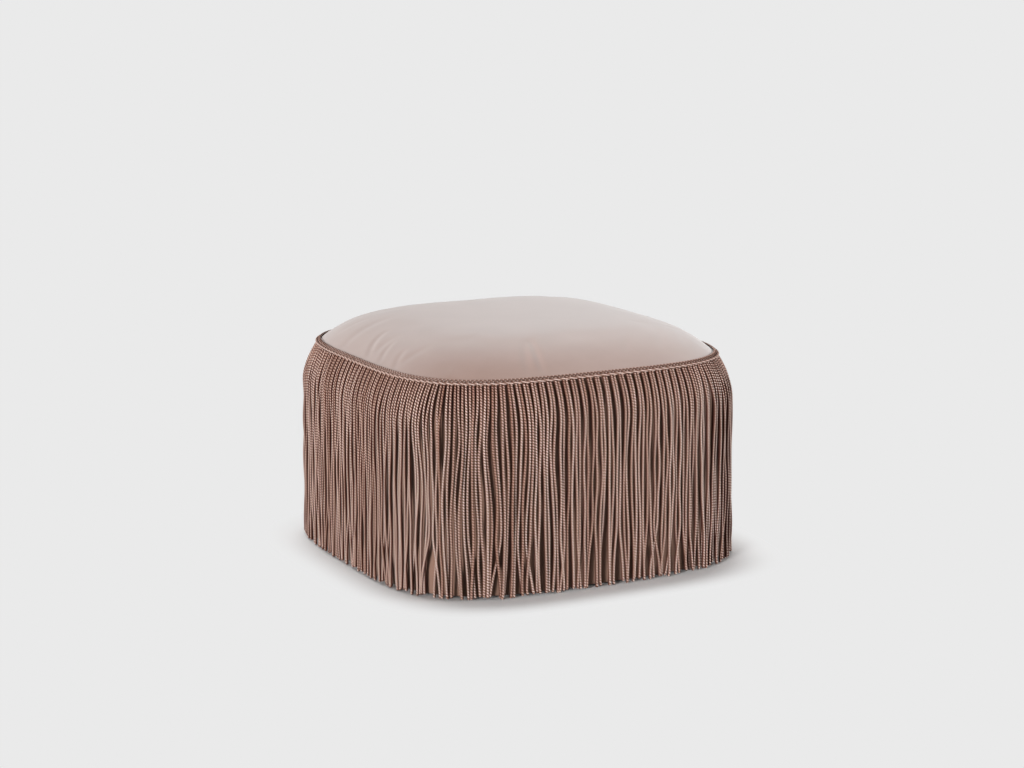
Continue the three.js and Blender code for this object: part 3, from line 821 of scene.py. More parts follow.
def rim_pulls(dice, count):
    """Small creases square to the rim, on the arc that the photograph doesn't show."""
    hidden = FULL_TURN - (SEEN_ARC[1] - SEEN_ARC[0])
    for number in range(count):
        angle = SEEN_ARC[1] + hidden * (number + dice.uniform()) / count
        end = outline(dice.uniform(*PULL_RIM) * SEAT_HIGH.x, np.array([angle]))[0]
        length = dice.uniform(*PULL_LENGTH)
        inward = -outward_at(end)
        aside = np.array([-inward[1], inward[0]]) * length * dice.uniform(-PULL_LEAN, PULL_LEAN)
        start = end + inward * length + aside
        bend = (start + end) / 2 + aside * dice.uniform()
        yield start, bend, end, dice.uniform(*PULL_WIDTH), dice.uniform(*PULL_DEPTH)


def crease_field(net, points, settings):
    """How far the creases move the points of a net over the seat up or down. They end before the rim."""
    marks = [*CREASES, *rim_pulls(np.random.default_rng(SEAT_SEED), settings.pulls)]
    heights = sum(crease_height(points, *map(np.asarray, mark)) for mark in marks)
    fade = 1 - eased(half_at(net).ravel(), PULL_RIM[1], 1)
    return settings.creases * fade * heights


def softened(field, rounds):
    """The values of a square net, averaged with their neighbours that many times. The rim keeps its own."""
    for _ in range(rounds):
        beside = field[:-2, 1:-1] + field[2:, 1:-1] + field[1:-1, :-2] + field[1:-1, 2:]
        field[1:-1, 1:-1] = (field[1:-1, 1:-1] + beside / 4) / 2
    return field


def relaxed_cover(points, faces, rim, settings):
    """The cover's points after its cloth has settled over the filling, each within its limits."""
    piece = add_piece("cloth_run", points, faces)
    group = piece.vertex_groups.new(name="rim")
    group.add(np.flatnonzero(rim).tolist(), 1.0, "REPLACE")
    cloth = piece.modifiers.new("Cloth", "CLOTH")
    cloth.settings.vertex_group_mass = group.name
    cloth.settings.effector_weights.gravity = 0
    cloth.settings.use_pressure = True
    cloth.settings.uniform_pressure_force = settings.pressure
    cloth.settings.tension_stiffness = CLOTH_STIFFNESS
    cloth.settings.compression_stiffness = CLOTH_STIFFNESS
    cloth.collision_settings.use_collision = False
    cloth.point_cache.frame_start = 1
    cloth.point_cache.frame_end = CLOTH_FRAMES
    for number in range(1, CLOTH_FRAMES + 1):
        bpy.context.scene.frame_set(number)
    evaluated = piece.evaluated_get(bpy.context.evaluated_depsgraph_get())
    rested = np.empty(points.size)
    evaluated.data.vertices.foreach_get("co", rested)
    bpy.data.objects.remove(piece)
    bpy.context.scene.frame_set(1)
    move = settings.swell * np.tanh((rested.reshape(points.shape) - points) / settings.swell)
    return points + softened(move.reshape(SEAT_POINTS, SEAT_POINTS, 3), CLOTH_SOFTENING).reshape(-1, 3)


class TUFFET_OT_seat(bpy.types.Operator):
    """Crowned velvet cover over the seat's filling"""

    bl_idname = "tuffet.seat"
    bl_label = "Seat"

    def execute(self, context):
        settings = context.scene.tuffet_seat
        net = seat_net(SEAT_POINTS)
        points = crown(net, SEAT_HIGH.x, SEAT_HIGH.z).reshape(-1, 3)
        faces = net_faces(SEAT_POINTS, SEAT_POINTS)
        points = relaxed_cover(points, faces, half_at(net).ravel() > 1 - CLEARANCE, settings)
        places = [points[:, :2] + [shift, 0] for shift in (-CREASE_SLOPE_REACH, 0, CREASE_SLOPE_REACH)]
        left, here, right = (crease_field(net, place, settings) for place in places)
        points[:, 2] += here
        cover = add_piece("velvet_seat", points, faces)
        # The creases' slope to the right, which the velvet's colour turns into painted light and shade
        set_values(cover.data, "lean", (right - left) / (2 * CREASE_SLOPE_REACH))
        cover = thicken(cover, settings.velvet)
        velvet = velvet_finish("seat_velvet", settings.pile, settings.painted_sheen, RIGHT_LIGHT_PAINT_SLOPE)
        fit(cover, "velvet", "seat_cover", velvet)
        return {"FINISHED"}


# Side panel

PANEL_COLUMNS = 560
PANEL_HANG_ROWS = 26
PANEL_SHOULDER_ROWS = 12
HEM_ROWS = 7
TURN_IN_ROWS = 17
HEM_ROLL = 0.018  # how far in the hem's roll reaches
PANEL_SEED = 5


def panel_profile(settings):
    """Half width and height of the panel's outer face, from the turned-in hem up to the seam."""
    side, foot, hem = panel_half(0), settings.hem_height, settings.hem
    inward = settings.turn_in * np.linspace(1, 0, TURN_IN_ROWS)
    rise = (PANEL_LOW.z - foot) * eased(inward, 0, HEM_ROLL)
    turned = np.column_stack([side - hem - inward, foot + rise])
    angles = np.linspace(0, QUARTER_TURN, HEM_ROWS)[1:]
    rounded = np.column_stack([side - hem + hem * np.sin(angles), foot + hem - hem * np.cos(angles)])
    hanging = np.linspace(foot + hem, SHOULDER_FOOT, PANEL_HANG_ROWS)[1:]
    shoulder = np.linspace(SHOULDER_FOOT, SEAM - CLEARANCE, PANEL_SHOULDER_ROWS)[1:]
    heights = np.concatenate([hanging, shoulder])
    straight = np.column_stack([panel_half(np.minimum(heights, HEADING_FOOT)), heights])
    return np.concatenate([turned, rounded, straight])


class TUFFET_OT_side_panel(bpy.types.Operator):
    """Velvet panel behind the cords, turned in under the frame"""

    bl_idname = "tuffet.side_panel"
    bl_label = "Side Panel"

    def execute(self, context):
        settings = context.scene.tuffet_panel
        loop = Loop(panel_half(0))
        profile = panel_profile(settings)
        places = loop.spaced(PANEL_COLUMNS)
        heights = profile[:, 1:]
        soft = settings.puckers * puckers(PANEL_SEED, heights, places, loop.length)
        loose = eased(heights, SKIRT_LOW.z, SKIRT_LOW.z + PUCKER_WIDE)
        loose = loose * (1 - eased(heights, SHOULDER_FOOT, SEAM))
        reaches = profile[:, :1] - loop.half + loose * soft
        points = swept(loop, places, reaches, heights)
        panel = add_piece("velvet_side_panel", points, net_faces(*reaches.shape, closed=True))
        velvet = velvet_finish("panel_velvet", settings.pile, settings.painted_sheen, 0.0)
        stretched_sheet(panel, settings.velvet, "velvet", "side_cover", velvet)
        return {"FINISHED"}


# Fringe

CORD_LEVELS = 46
CORD_TOP = HEADING_FOOT + 0.0012
CORD_PLIES = 2
CORD_RELIEF = 0.0006
SHOULDER_PACKING = 1.25  # how much closer a cord's points lie at its top, as a power
TIP_SHARES = [0.982, 0.99, 0.996, 1.0]
TIP_GIRTHS = [1.0, 1.04, 1.06, 0.8]
TIP_FLOOR = 0.0012
TIP_TONES = (0, 1.6)  # tips are darker or paler than their cords
TONE_MIDDLE = 0.6
TONE_SPREAD = 0.30
HANG_FLARE = 0.0014  # how much further out the cords hang at the floor
SWAY_SIDES = [1.0, 1.0, 0.9, 0.5, 1.0, 1.0]  # wander of the cords: front, right, back, left, front, right
SWAY_TALL = 0.17
SWAY_WIDE = 0.070
STRAY_TALL = 0.15
DEPTH_RANGE = (-0.0044, 0.0030)
DEPTH_LEAN = 0.0009  # how far the pairs hang behind the solid model's cords
MERGE_SHARES = (0.07, 0.40)  # how far the cords of a pair slip behind each other, mid-side and at the corners
MERGE_SWING = 0.16
MERGE_TALL = 0.30
SPREAD_TALL = 0.12  # how far down a pair has reached its full spread
CORNER_PEAK = 4
SPLAY_START = 0.22
SETTLE_ROUNDS = 90
SETTLE_EASE = 0.18  # how strongly a cord straightens in each round
STEPS_PER_PAIR = 8
ROPE_RISE = 0.0023  # middle of the rope above the foot of the heading
ROPE_REACH = 0.0018  # middle of the rope outside the middle of the cords
ROPE_STRAND_SHARE = 0.28  # radius of a strand, against the thickness of the rope
ROPE_PLIES = 5
TRIM_RELIEF = 0.0002
TAPE_STATIONS = 61
TAPE_REACH = (-0.0019, -0.0004)  # inner and outer face of the tape, against the middle of the cords
TAPE_ROUNDING = 0.0004
TAPE_PAINTED_SHADE_SHARE = 0.09  # painted shade: the tape's colour, darkened to this share of the cords' colour to stand for the shade in the gaps between them


def pair_places(loop, pairs):
    """Where along the heading the middle of each pair of cords is, all round."""
    shares = crowded((np.arange(pairs) + 1 / 2) / pairs)
    return np.concatenate([(side + shares) * loop.side for side in range(len(SIDES))])[:, None]


def hung(loop, places, heights, depths):
    """Points of cords that leave the heading at those places, run out over the shoulder and hang."""
    distance = cord_half(np.minimum(heights, HEADING_FOOT)) - HEADING_HALF + depths
    return np.concatenate([outset(loop.points(places), distance), heights[..., None]], -1)


def settled(loop, places, heights, reaches):
    """Places of the pairs, moved aside until level neighbours only touch. A reach is half a pair's width."""
    needed = reaches + np.roll(reaches, -1, axis=0)
    for _ in range(SETTLE_ROUNDS):
        points = hung(loop, places, heights, 0)[..., :2]
        facing = outward_at(points)
        gap = np.roll(points, -1, axis=0) - points
        beside = gap[..., 1] * facing[..., 0] - gap[..., 0] * facing[..., 1]
        push = np.maximum(needed - beside, 0) / 2
        push[:, 0] = 0
        places = places - push + np.roll(push, 1, axis=0)
        bend = places[:, 2:] + places[:, :-2] - 2 * places[:, 1:-1]
        places[:, 1:-1] += SETTLE_EASE * bend
    return places


def lone_wave(dice, down, tall):
    """A wave down each pair, about that tall, with its own length and start."""
    start, stretch = dice.uniform(0, 1, (2, len(down), 1))
    return np.sin(FULL_TURN * (down / tall * (1 / 2 + stretch) + start))


def cord_levels():
    """How far down a cord each of its points is, as a share, and how thick the cord is there."""
    even = np.linspace(0, 1, CORD_LEVELS - len(TIP_SHARES) + 1)[:-1] ** SHOULDER_PACKING
    return np.array([*TIP_SHARES[0] * even, *TIP_SHARES]), np.array([*np.ones(len(even)), *TIP_GIRTHS])


def hanging_pairs(dice, loop, settings, shares):
    """Places of the pairs down their cords, and how far a cord is beside its pair's middle and before it."""
    middles = pair_places(loop, settings.pairs)
    down = np.broadcast_to((CORD_TOP - settings.tip) * shares, (len(middles), CORD_LEVELS))
    loosened = eased(down, 0, SWAY_TALL / 2)
    wander = np.interp(middles / loop.side, np.arange(-1, len(SIDES) + 1) + 1 / 2, SWAY_SIDES)
    sway = settings.sway * waves(dice, down, middles, loop.length, SWAY_TALL, SWAY_WIDE)
    stray = settings.stray * lone_wave(dice, down, STRAY_TALL)
    places = middles + loosened * wander * (sway + stray)

    to_corner = np.abs(np.cos(math.pi * middles / loop.side)) ** CORNER_PEAK
    slip = MERGE_SHARES[0] + (MERGE_SHARES[1] - MERGE_SHARES[0]) * to_corner
    hand = dice.choice([-1, 1], (len(middles), 1))
    swing = lone_wave(dice, down, MERGE_TALL) + lone_wave(dice, down, STRAY_TALL) / 2
    turn = QUARTER_TURN * (hand * slip + MERGE_SWING * swing) * eased(down, 0, SHOULDER_DROP)
    opened = settings.opening * lone_wave(dice, down, STRAY_TALL) * loosened
    splay = settings.splay * dice.normal(size=(len(middles), 1)) * eased(down, SPLAY_START, CORD_TOP)
    spread = (settings.spread - settings.pair_gap) * eased(down, 0, SPREAD_TALL)
    part = (settings.pair_gap + spread) / 2 + opened
    places = settled(loop, places, CORD_TOP - down, part * np.cos(turn) + settings.cord / 2)
    return down, places, part * np.cos(turn) + splay, part * np.sin(turn)


def hanging_lines(loop, settings):
    """Points of every cord, all round, with the values that its shape and finish read."""
    dice = np.random.default_rng(settings.seed)
    shares, girths = cord_levels()
    down, places, aside, ahead = hanging_pairs(dice, loop, settings, shares)
    middle_depth = settings.depth * lone_wave(dice, down, SWAY_TALL) - DEPTH_LEAN
    cords = []
    for side in (-1, 1):
        depths = np.clip(middle_depth + side * ahead, *DEPTH_RANGE) * eased(down, 0, SHOULDER_DROP)
        depths += HANG_FLARE * eased(down, 0, CORD_TOP)
        tips = np.maximum(settings.tip + settings.uneven * dice.uniform(-1, 1, (len(down), 1)), TIP_FLOOR)
        cords.append(hung(loop, places + side * aside, CORD_TOP - (CORD_TOP - tips) * shares, depths))
    lines = np.stack(cords, 1).reshape(-1, CORD_LEVELS, 3)
    each = np.ones((len(lines), 1))
    tones = np.clip(TONE_MIDDLE + TONE_SPREAD * dice.normal(size=each.shape), 0, 1) * np.ones(CORD_LEVELS)
    tones[:, -2:] = dice.uniform(*TIP_TONES, each.shape)
    facing = np.concatenate([outward_at(lines[..., :2]), np.zeros((*tones.shape, 1))], -1)
    starts = settings.lay * dice.uniform(0, 1, each.shape) * np.ones(CORD_LEVELS)
    return lines, {"tone": tones, "girth": girths * each, "facing": facing, "start": starts}


def guide(name, lines, closed=False, **values):
    """Lines of points as a mesh without faces, with the values that a tree reads at each point."""
    number = np.arange(lines[..., 0].size).reshape(lines.shape[:2])
    edges = np.stack([number, np.roll(number, -1, axis=1)], -1)
    if not closed:
        edges = edges[:, :-1]
    piece = add_piece(name, lines, [], edges.reshape(-1, 2).tolist())
    for title, value in values.items():
        set_values(piece.data, title, value)
    return piece


def wound_path(name, loop, places, distance, height, turns, tilt, closed):
    """The path of a rope or braid at a height and distance outside a loop, with its turns and directions."""
    facing = outward_at(loop.points(places))
    up, out = math.sin(tilt), math.cos(tilt)
    leaning = np.column_stack([facing * out, np.full(len(places), up)])
    upward = np.column_stack([facing * up, np.full(len(places), -out)])
    values = {"turns": turns, "across": leaning, "upward": upward, "facing": -upward if tilt else leaning}
    return guide(name, swept(loop, places, distance, [[height]]), closed, **values)


def tape_section():
    """Corners of the tape's section, cut off a little: how far out each is, and how high."""
    inner, outer = TAPE_REACH
    near, far = inner + TAPE_ROUNDING, outer - TAPE_ROUNDING
    top, foot = SKIRT_HIGH.z, HEADING_FOOT
    high, low = top - TAPE_ROUNDING, foot + TAPE_ROUNDING
    upper = [(near, top), (far, top), (outer, high)]
    lower = [(outer, low), (far, foot), (near, foot)]
    return np.array([*upper, *lower, (inner, low), (inner, high)])


def heading_tape(name, loop, side):
    """The flat tape that the cords are sewn to, along one side."""
    section = tape_section()
    places = np.linspace(side * loop.side, (side + 1) * loop.side, TAPE_STATIONS)
    points = swept(loop, places, section[:, :1], section[:, 1:]).swapaxes(0, 1)
    faces = net_faces(*points.shape[:2], closed=True).tolist()
    first = range(len(section))
    last = range(points[..., 0].size - len(section), points[..., 0].size)
    return add_piece(name, points, [*faces, [*reversed(first)], [*last]])


def heading_rope(name, loop, side, pairs, shape, finish):
    """The two-strand rope over the tops of the cords, half a turn for each pair."""
    pair = np.linspace(0, pairs, pairs * STEPS_PER_PAIR + 1)
    places = (side + crowded(pair / pairs)) * loop.side
    turns = (pair + 1 / 2) / 2
    path = wound_path(name, loop, places, ROPE_REACH, HEADING_FOOT + ROPE_RISE, turns, tilt=0, closed=False)
    return shape.applied(path, name, finish)


class TUFFET_OT_fringe(bpy.types.Operator):
    """Paired twisted cords with their heading tape and rope, one piece for each side"""

    bl_idname = "tuffet.fringe"
    bl_label = "Fringe"

    def execute(self, context):
        settings = context.scene.tuffet_fringe
        loop = Loop(HEADING_HALF)
        lines, values = hanging_lines(loop, settings)
        cords = cord_shape(settings.cord / 2)
        strand = ROPE_STRAND_SHARE * settings.rope
        swing = settings.rope / 2 - strand
        rope = trim_shape("heading_rope", swing, swing, 1.0, strand)
        colours = settings.thread, settings.body, settings.groove_shade
        cord_thread = cord_finish("cord_thread", colours, CORD_PLIES, settings.lay, CORD_RELIEF, CORD_DEEP)
        colours = settings.thread, settings.rope_body, settings.rope_groove_shade
        rope_thread = cord_finish("rope_thread", colours, ROPE_PLIES, settings.rope, TRIM_RELIEF, TRIM_UNDER_SHADE)
        # The heading tape, its colour darkened as painted shade behind the cords
        tape_cloth = tape_finish(scaled(settings.body, TAPE_PAINTED_SHADE_SHARE))
        for side, name in enumerate(SIDES):
            own = slice(side * 2 * settings.pairs, (side + 1) * 2 * settings.pairs)
            chosen = {title: value[own] for title, value in values.items()}
            path = guide(f"cords_{name}", lines[own], **chosen)
            hanging = cords.applied(path, f"corded_fringe_{name}", cord_thread)
            laid = heading_rope(f"rope_{name}", loop, side, settings.pairs, rope, rope_thread)
            tape = heading_tape(f"tape_{name}", loop, side)
            tape.data.materials.append(tape_cloth)
            fit(join([hanging, laid, tape]), "cord", f"fringe_{name}")
        return {"FINISHED"}


# Braid

BRAID_REACH = 0.2753  # half width of the braid's middle line
BRAID_HEIGHT = 0.3227
BRAID_STEPS = 16  # points of the path for each twist
BRAID_LIFT_SHARE = 0.32  # how far the strands rise over each other, against their diameter
BRAID_TILT = -math.pi / 4
BRAID_PLIES = 4
BASE_STATIONS = 240
BASE_PAINTED_SHADE_SHARE = 0.42  # painted shade: the colour of the tape under the braid, darkened to this share of its strands' colour as the shade between them
BASE_HALF_SHARE = 0.42  # half width of that tape, against the width of the braid
BASE_LIFTS = (-0.0003, -0.0011)  # upper and lower face of that tape, against the middle of the braid


def braid_base(loop, width):
    """The flat tape under the braid, leaning from the seat down to the heading."""
    up, out = math.sin(BRAID_TILT), math.cos(BRAID_TILT)
    shift = BASE_HALF_SHARE * width * np.array([[-1], [1], [1], [-1]])
    lift = np.repeat(BASE_LIFTS, 2)[:, None]
    places = loop.spaced(BASE_STATIONS)
    points = swept(loop, places, shift * out - lift * up, BRAID_HEIGHT + shift * up + lift * out)
    faces = net_faces(len(shift), len(places), closed=True, looped=True)
    return add_piece("braid_base", points, faces[:, ::-1])


class TUFFET_OT_braid(bpy.types.Operator):
    """Flat braid that covers the seam between the seat and the fringe"""

    bl_idname = "tuffet.braid"
    bl_label = "Braid"

    def execute(self, context):
        settings = context.scene.tuffet_braid
        loop = Loop(BRAID_REACH)
        places = loop.spaced(settings.twists * BRAID_STEPS)
        turns = np.arange(len(places)) / BRAID_STEPS
        radius = settings.strand / 2
        swing, lift = settings.width / 2 - radius, BRAID_LIFT_SHARE * settings.strand
        shape = trim_shape("flat_braid", swing, lift, 0.0, radius)
        path = wound_path("braid_path", loop, places, 0, BRAID_HEIGHT, turns, BRAID_TILT, closed=True)
        colours = settings.thread, settings.body, settings.groove_shade
        thread = cord_finish("braid_thread", colours, BRAID_PLIES, settings.width, TRIM_RELIEF, TRIM_UNDER_SHADE)
        wound = shape.applied(path, "flat_gimp_braid", thread)
        base = braid_base(loop, settings.width)
        # The tape under the braid, its colour darkened as painted shade between the strands
        base.data.materials.append(tape_finish(scaled(settings.body, BASE_PAINTED_SHADE_SHARE)))
        fit(join([wound, base]), "braid", "gimp_braid")
        return {"FINISHED"}


# Filling

FILLING_POINTS = 101
PADDING_COLUMNS = 280
PADDING_ROWS = 24
PADDING_ROUNDING = 0.0008
VELVET_SOLID = 0.002  # thickness of the velvet in the solid model
SHARP_EDGE = math.radians(50)


def rim_numbers(count):
    """Numbers of the points round the edge of a square net, anticlockwise."""
    line = np.arange(count)
    last = count - 1
    backward = line[:0:-1]
    return np.concatenate([line[:-1], line[:-1] * count + last, last * count + backward, backward * count])


def add_shell(name, upper, lower, *heights):
    """A closed piece between two square nets, whose sides drop from the upper one to each height in turn."""
    count = len(upper)
    rim = rim_numbers(count)
    nets = [net.reshape(-1, 3) for net in (upper, lower)]
    size = len(nets[0])
    rings = [net[rim] * [1, 1, 0] + [0, 0, height] for net, height in zip(nets, heights)]
    numbers = 2 * size + np.arange(len(rings) * len(rim)).reshape(-1, len(rim))
    lines = [rim, *numbers, rim + size]
    bands = zip(lines, lines[1:])
    strips = [np.stack([low, np.roll(low, -1), np.roll(high, -1), high], -1) for high, low in bands]
    faces = net_faces(count, count)
    faces = np.concatenate([faces, faces[:, ::-1] + size, *strips])
    piece = add_piece(name, np.concatenate([*nets, *rings]), faces)
    piece.data.set_sharp_from_angle(angle=SHARP_EDGE)
    return piece


def seat_block():
    """The foam block on the hessian: upright sides and a crowned top."""
    upper = crown(seat_net(FILLING_POINTS), FOAM_HIGH.x, FOAM_HIGH.z)
    return add_shell("seat_foam_block", upper, upper * [1, 1, 0] + [0, 0, FOAM_LOW.z])


def wadding_layer(settings):
    """The layer over the foam, with the creases of the cover pressed into it."""
    net = seat_net(FILLING_POINTS)
    upper = crown(net, WADDING_HIGH.x, WADDING_HIGH.z)
    lower = crown(net, FOAM_HIGH.x + CLEARANCE, FOAM_HIGH.z + CLEARANCE)
    creases = crease_field(net, upper[..., :2].reshape(-1, 2), settings)
    upper[..., 2] += creases.reshape(upper.shape[:2])
    return add_shell("seat_wadding_layer", upper, lower, WADDING_LOW.z, WADDING_LOW.z)


def side_pad():
    """The foam sheet between the side wall and its velvet, thinner over the shoulder."""
    loop = Loop(panel_half(0))
    back, foot, top = WALL_HIGH.x + CLEARANCE, PADDING_LOW.z, PADDING_HIGH.z
    corner = PADDING_ROUNDING
    heights = np.linspace(foot + corner, top - corner, PADDING_ROWS)
    outer = panel_half(heights) - VELVET_SOLID - CLEARANCE
    over = [(outer[-1] - corner, top), (back + corner, top), (back, top - corner)]
    under = [(back, foot + corner), (back + corner, foot), (outer[0] - corner, foot)]
    profile = np.array([*zip(outer, heights), *over, *under])
    points = swept(loop, loop.spaced(PADDING_COLUMNS), profile[:, :1] - loop.half, profile[:, 1:])
    return add_piece("side_foam_pad", points, net_faces(*points.shape[:2], closed=True, looped=True))


class TUFFET_OT_filling(bpy.types.Operator):
    """Foam block and wadding under the seat cover, and the pad behind the side panel"""

    bl_idname = "tuffet.filling"
    bl_label = "Filling"

    def execute(self, context):
        foam = foam_finish()
        layers = [
            (seat_block(), "foam", "seat_foam", foam),
            (wadding_layer(context.scene.tuffet_seat), "wadding", "seat_wadding", wadding_finish()),
            (side_pad(), "foam", "side_padding", foam),
        ]
        for piece, *place in layers:
            fit(piece, *place)
        return {"FINISHED"}


# Deck under the filling, and the dust cover under the frame

WEB_ROWS = {  # webs across the seat, and webs turned to run along it
    0: ["web_across_front", "web_across_middle", "web_across_back"],
    1: ["web_along_right", "web_along_middle", "web_along_left"],
}
WEB_PITCH = -(WEB_LOW.y + WEB_HIGH.y) / 2
WEB_STEPS = 121
WEB_LINES = 9
WEB_FLATNESS = 1.35  # more than 1 keeps a web level where it crosses another
WEB_LANDING = (0.155, 0.200)  # from where to where a web comes down to the ring
SLACK_POINTS = 61
SLACK_SEED = 3


def web_sheet(name, row, turned, thickness):
    """The top face of one web across the seat, or turned to run along it, over and under the others."""
    line = np.linspace(WEB_LOW.x, WEB_HIGH.x, WEB_STEPS)
    aside = np.linspace(WEB_LOW.y, WEB_HIGH.y, WEB_LINES) + (row + 1) * WEB_PITCH
    x, y = np.meshgrid(line, aside)
    over = 1 if (row + turned) % 2 else -1
    weave = np.clip(WEB_FLATNESS * over * np.cos(math.pi * x / WEB_PITCH), -1, 1)
    rise = (WEB_HIGH.z - WEB_LOW.z - thickness) / 2
    height = WEB_HIGH.z - rise + rise * weave * (1 - eased(np.abs(x), *WEB_LANDING))
    points = np.stack([-y, x, height] if turned else [x, y, height], -1)
    return add_piece(name, points, net_faces(WEB_LINES, WEB_STEPS))


def slack_cloth(name, half, height, slack):
    """A cloth in soft waves of that slack, above its height or, if the slack is below zero, under it."""
    net = seat_net(SLACK_POINTS) * half
    soft = puckers(SLACK_SEED, net[..., 1], net[..., 0], 2 * half)
    heights = height + slack * (1 + soft) / 2
    faces = net_faces(SLACK_POINTS, SLACK_POINTS)
    if slack > 0:
        faces = faces[:, ::-1]
    return add_piece(name, np.concatenate([net, heights[..., None]], -1), faces)


class TUFFET_OT_deck(bpy.types.Operator):
    """Six woven webs on the seat ring and the hessian over them"""

    bl_idname = "tuffet.deck"
    bl_label = "Deck"

    def execute(self, context):
        settings = context.scene.tuffet_deck
        webbing = webbing_finish()
        for turned, nodes in WEB_ROWS.items():
            for row, node in enumerate(nodes, -1):
                web = web_sheet(f"jute_{node}", row, turned, settings.web)
                stretched_sheet(web, settings.web, "webbing", node, webbing)
        cloth = slack_cloth("hessian_deck", HESSIAN_HIGH.x, HESSIAN_HIGH.z, -settings.slack)
        stretched_sheet(cloth, settings.cloth, "hessian", "hessian", hessian_finish())
        return {"FINISHED"}


class TUFFET_OT_dust_cover(bpy.types.Operator):
    """Thin bonded cloth, stapled over the bottom of the frame"""

    bl_idname = "tuffet.dust_cover"
    bl_label = "Dust Cover"

    def execute(self, context):
        settings = context.scene.tuffet_deck
        cover = slack_cloth("bonded_dust_cover", DUST_HIGH.x, DUST_LOW.z, settings.slack)
        stretched_sheet(cover, settings.cloth, "nonwoven", "dust_cover", dust_finish())
        return {"FINISHED"}


# Frame finishes

FRAME_FINISHES = {
    "base_board": plywood_finish,
    "seat_ring": plywood_finish,
    "corner_post": plywood_finish,
    "side_wall": hardboard_finish,
    "glide_screw": steel_finish,
    "glide_": plastic_finish,
    "post_screw": steel_finish,
    "staple": steel_finish,
}


class TUFFET_OT_frame_finishes(bpy.types.Operator):
    """Materials for the parts of the frame that are shown as they are"""

    bl_idname = "tuffet.frame_finishes"
    bl_label = "Frame Finishes"

    def execute(self, context):
        made = {}
        for name, node in sorted(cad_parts.items()):
            if node.hide_render:
                continue
            finish = next(finish for start, finish in FRAME_FINISHES.items() if name.startswith(start))
            if finish not in made:
                made[finish] = finish()
            node.data.materials.clear()
            node.data.materials.append(made[finish])
        return {"FINISHED"}


# Stage

FLOOR_HALF = 40.0
FLOOR_BLEND = (0.297, 0.364)  # half widths between which the floor turns into the plain backdrop
SHADOW_SHIFT = 0.016  # how much further the shadow reaches in front than behind
BOUNCE_SHARE = 0.33  # how much of its paleness the floor keeps for the light that it throws back
LAMPS = {  # turn round the object, rise above the floor, and spread, in degrees
    "overhead": (172, 66, 40),
    "key": (-58, 10, 14),
    "side": (58, 10, 20),
}
LENS = 79.05
SENSOR = 36.0
CAMERA_TARGET = (0.0, 0.0, 0.150)
CAMERA_DISTANCE = 3.603
CAMERA_RISE = math.radians(12.86)
CAMERA_TURN = math.radians(-27.47)
CAMERA_TILT = 0.0291  # the camera looks this far above its target
CAMERA_PAN = 0.0009
CLIP = (0.05, 200.0)
WHITE = (1, 1, 1)


def seen(graph):
    """1 for what the camera sees, directly, in gloss or through glass, and 0 for light on the object."""
    path = graph.tree.nodes.new("ShaderNodeLightPath")
    kinds = "Camera", "Glossy", "Transmission"
    camera, gloss, glass = (Wire(graph, path.outputs[f"Is {kind} Ray"]) for kind in kinds)
    return (camera + gloss + glass).at_most(1.0)


def coloured(graph, kind, colour, **sockets):
    return graph.node(f"ShaderNode{kind}", {}, {"Color": (*colour, 1), **sockets})


def floor_finish(backdrop):
    """A pale floor that takes the object's shadow and runs out into the plain background."""
    paint = Paint("studio_floor")
    across, along = paint.axis(paint.place, "X"), paint.axis(paint.place, "Y") + SHADOW_SHIFT
    half = (abs(across) ** PLAN_POWER + abs(along) ** PLAN_POWER) ** (1 / PLAN_POWER)
    dim = coloured(paint, "BsdfDiffuse", scaled(backdrop, BOUNCE_SHARE))
    pale, plain = coloured(paint, "BsdfDiffuse", backdrop), coloured(paint, "Emission", backdrop)
    shown = paint.node("ShaderNodeMixShader", {}, [paint.ramp(half, *FLOOR_BLEND), pale, plain])
    mixed = paint.node("ShaderNodeMixShader", {}, [seen(paint), dim, shown])
    paint.node("ShaderNodeOutputMaterial", {}, {"Surface": mixed})
    return paint.material


def add_floor(backdrop):
    corners = [(x * FLOOR_HALF, y * FLOOR_HALF, 0) for x, y in ((-1, -1), (1, -1), (1, 1), (-1, 1))]
    floor = add_piece("studio_floor", corners, [[0, 1, 2, 3]])
    floor.data.materials.append(floor_finish(backdrop))
    floor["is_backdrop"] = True


def add_sky(scene, backdrop, strength):
    world = bpy.data.worlds.new("studio_sky")
    world.use_nodes = True
    graph = Graph(world.node_tree)
    lit = coloured(graph, "Background", WHITE, Strength=strength)
    shown = coloured(graph, "Background", backdrop)
    mixed = graph.node("ShaderNodeMixShader", {}, [seen(graph), lit, shown])
    graph.node("ShaderNodeOutputWorld", {}, {"Surface": mixed})
    scene.world = world


def facing(turn, rise):
    """The direction from the object to something that far round it and above the floor."""
    reach = math.cos(rise)
    return Vector((math.sin(turn) * reach, -math.cos(turn) * reach, math.sin(rise)))


def add_lamp(name, strength):
    turn, rise, spread = map(math.radians, LAMPS[name])
    lamp = bpy.data.lights.new(f"{name}_lamp", "SUN")
    lamp.energy = strength
    lamp.angle = spread
    holder = add_object(lamp.name, lamp)
    holder.rotation_euler = facing(turn, rise).to_track_quat("Z", "Y").to_euler()


def add_camera(scene):
    camera = bpy.data.cameras.new("photograph_view")
    camera.lens = LENS
    camera.sensor_width = SENSOR
    camera.clip_start, camera.clip_end = CLIP
    holder = add_object(camera.name, camera)
    back = facing(CAMERA_TURN, CAMERA_RISE)
    holder.location = Vector(CAMERA_TARGET) + CAMERA_DISTANCE * back
    holder.rotation_mode = "QUATERNION"
    aim = (-back).to_track_quat("-Z", "Y")
    holder.rotation_quaternion = aim @ Euler((CAMERA_TILT, CAMERA_PAN, 0)).to_quaternion()
    scene.camera = holder


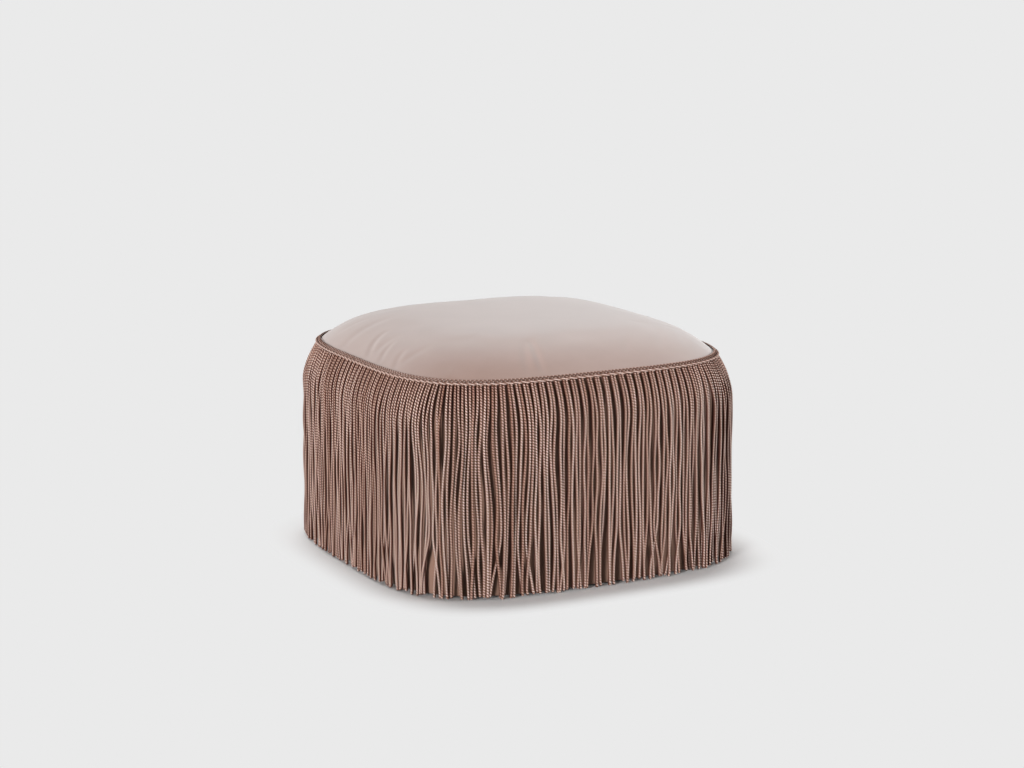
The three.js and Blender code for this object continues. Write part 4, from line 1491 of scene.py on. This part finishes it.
class TUFFET_OT_stage(bpy.types.Operator):
    """Floor, even light and the camera of the photograph"""

    bl_idname = "tuffet.stage"
    bl_label = "Stage"

    def execute(self, context):
        scene = context.scene
        settings = scene.tuffet_stage
        scene.view_settings.view_transform = "Standard"
        add_floor(settings.backdrop)
        add_sky(scene, settings.backdrop, settings.sky)
        for name in LAMPS:
            add_lamp(name, getattr(settings, name))
        add_camera(scene)
        return {"FINISHED"}


# Sidebar and registration

SETTINGS = {
    "tuffet_seat": TuffetSeat,
    "tuffet_panel": TuffetPanel,
    "tuffet_fringe": TuffetFringe,
    "tuffet_braid": TuffetBraid,
    "tuffet_deck": TuffetDeck,
    "tuffet_stage": TuffetStage,
}
OPERATORS = [
    TUFFET_OT_stage,
    TUFFET_OT_seat,
    TUFFET_OT_side_panel,
    TUFFET_OT_fringe,
    TUFFET_OT_braid,
    TUFFET_OT_filling,
    TUFFET_OT_deck,
    TUFFET_OT_dust_cover,
    TUFFET_OT_frame_finishes,
]


class TUFFET_PT_sidebar(bpy.types.Panel):
    """The tuffet's pieces and their settings"""

    bl_idname = "TUFFET_PT_sidebar"
    bl_label = "Tuffet"
    bl_space_type = "VIEW_3D"
    bl_region_type = "UI"
    bl_category = "Tuffet"

    def draw(self, context):
        layout = self.layout
        for operator in OPERATORS:
            layout.operator(operator.bl_idname)
        for name, group in SETTINGS.items():
            box = layout.box()
            box.label(text=group.__name__.removeprefix("Tuffet"))
            for setting in group.__annotations__:
                box.prop(getattr(context.scene, name), setting)


def register():
    for name, group in SETTINGS.items():
        bpy.utils.register_class(group)
        setattr(bpy.types.Scene, name, PointerProperty(type=group))
    for each in [*OPERATORS, TUFFET_PT_sidebar]:
        bpy.utils.register_class(each)


def unregister():
    for each in [TUFFET_PT_sidebar, *reversed(OPERATORS)]:
        bpy.utils.unregister_class(each)
    for name, group in SETTINGS.items():
        delattr(bpy.types.Scene, name)
        bpy.utils.unregister_class(group)


def main():
    """Builds every piece."""
    register()
    for operator in OPERATORS:
        group, name = operator.bl_idname.split(".")
        getattr(getattr(bpy.ops, group), name)()
    sizes = {"cad": CAD_BOX, "visual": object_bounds()}
    {name: [list(corner) for corner in box] for name, box in sizes.items()}


if __name__ == "__main__":
    main()
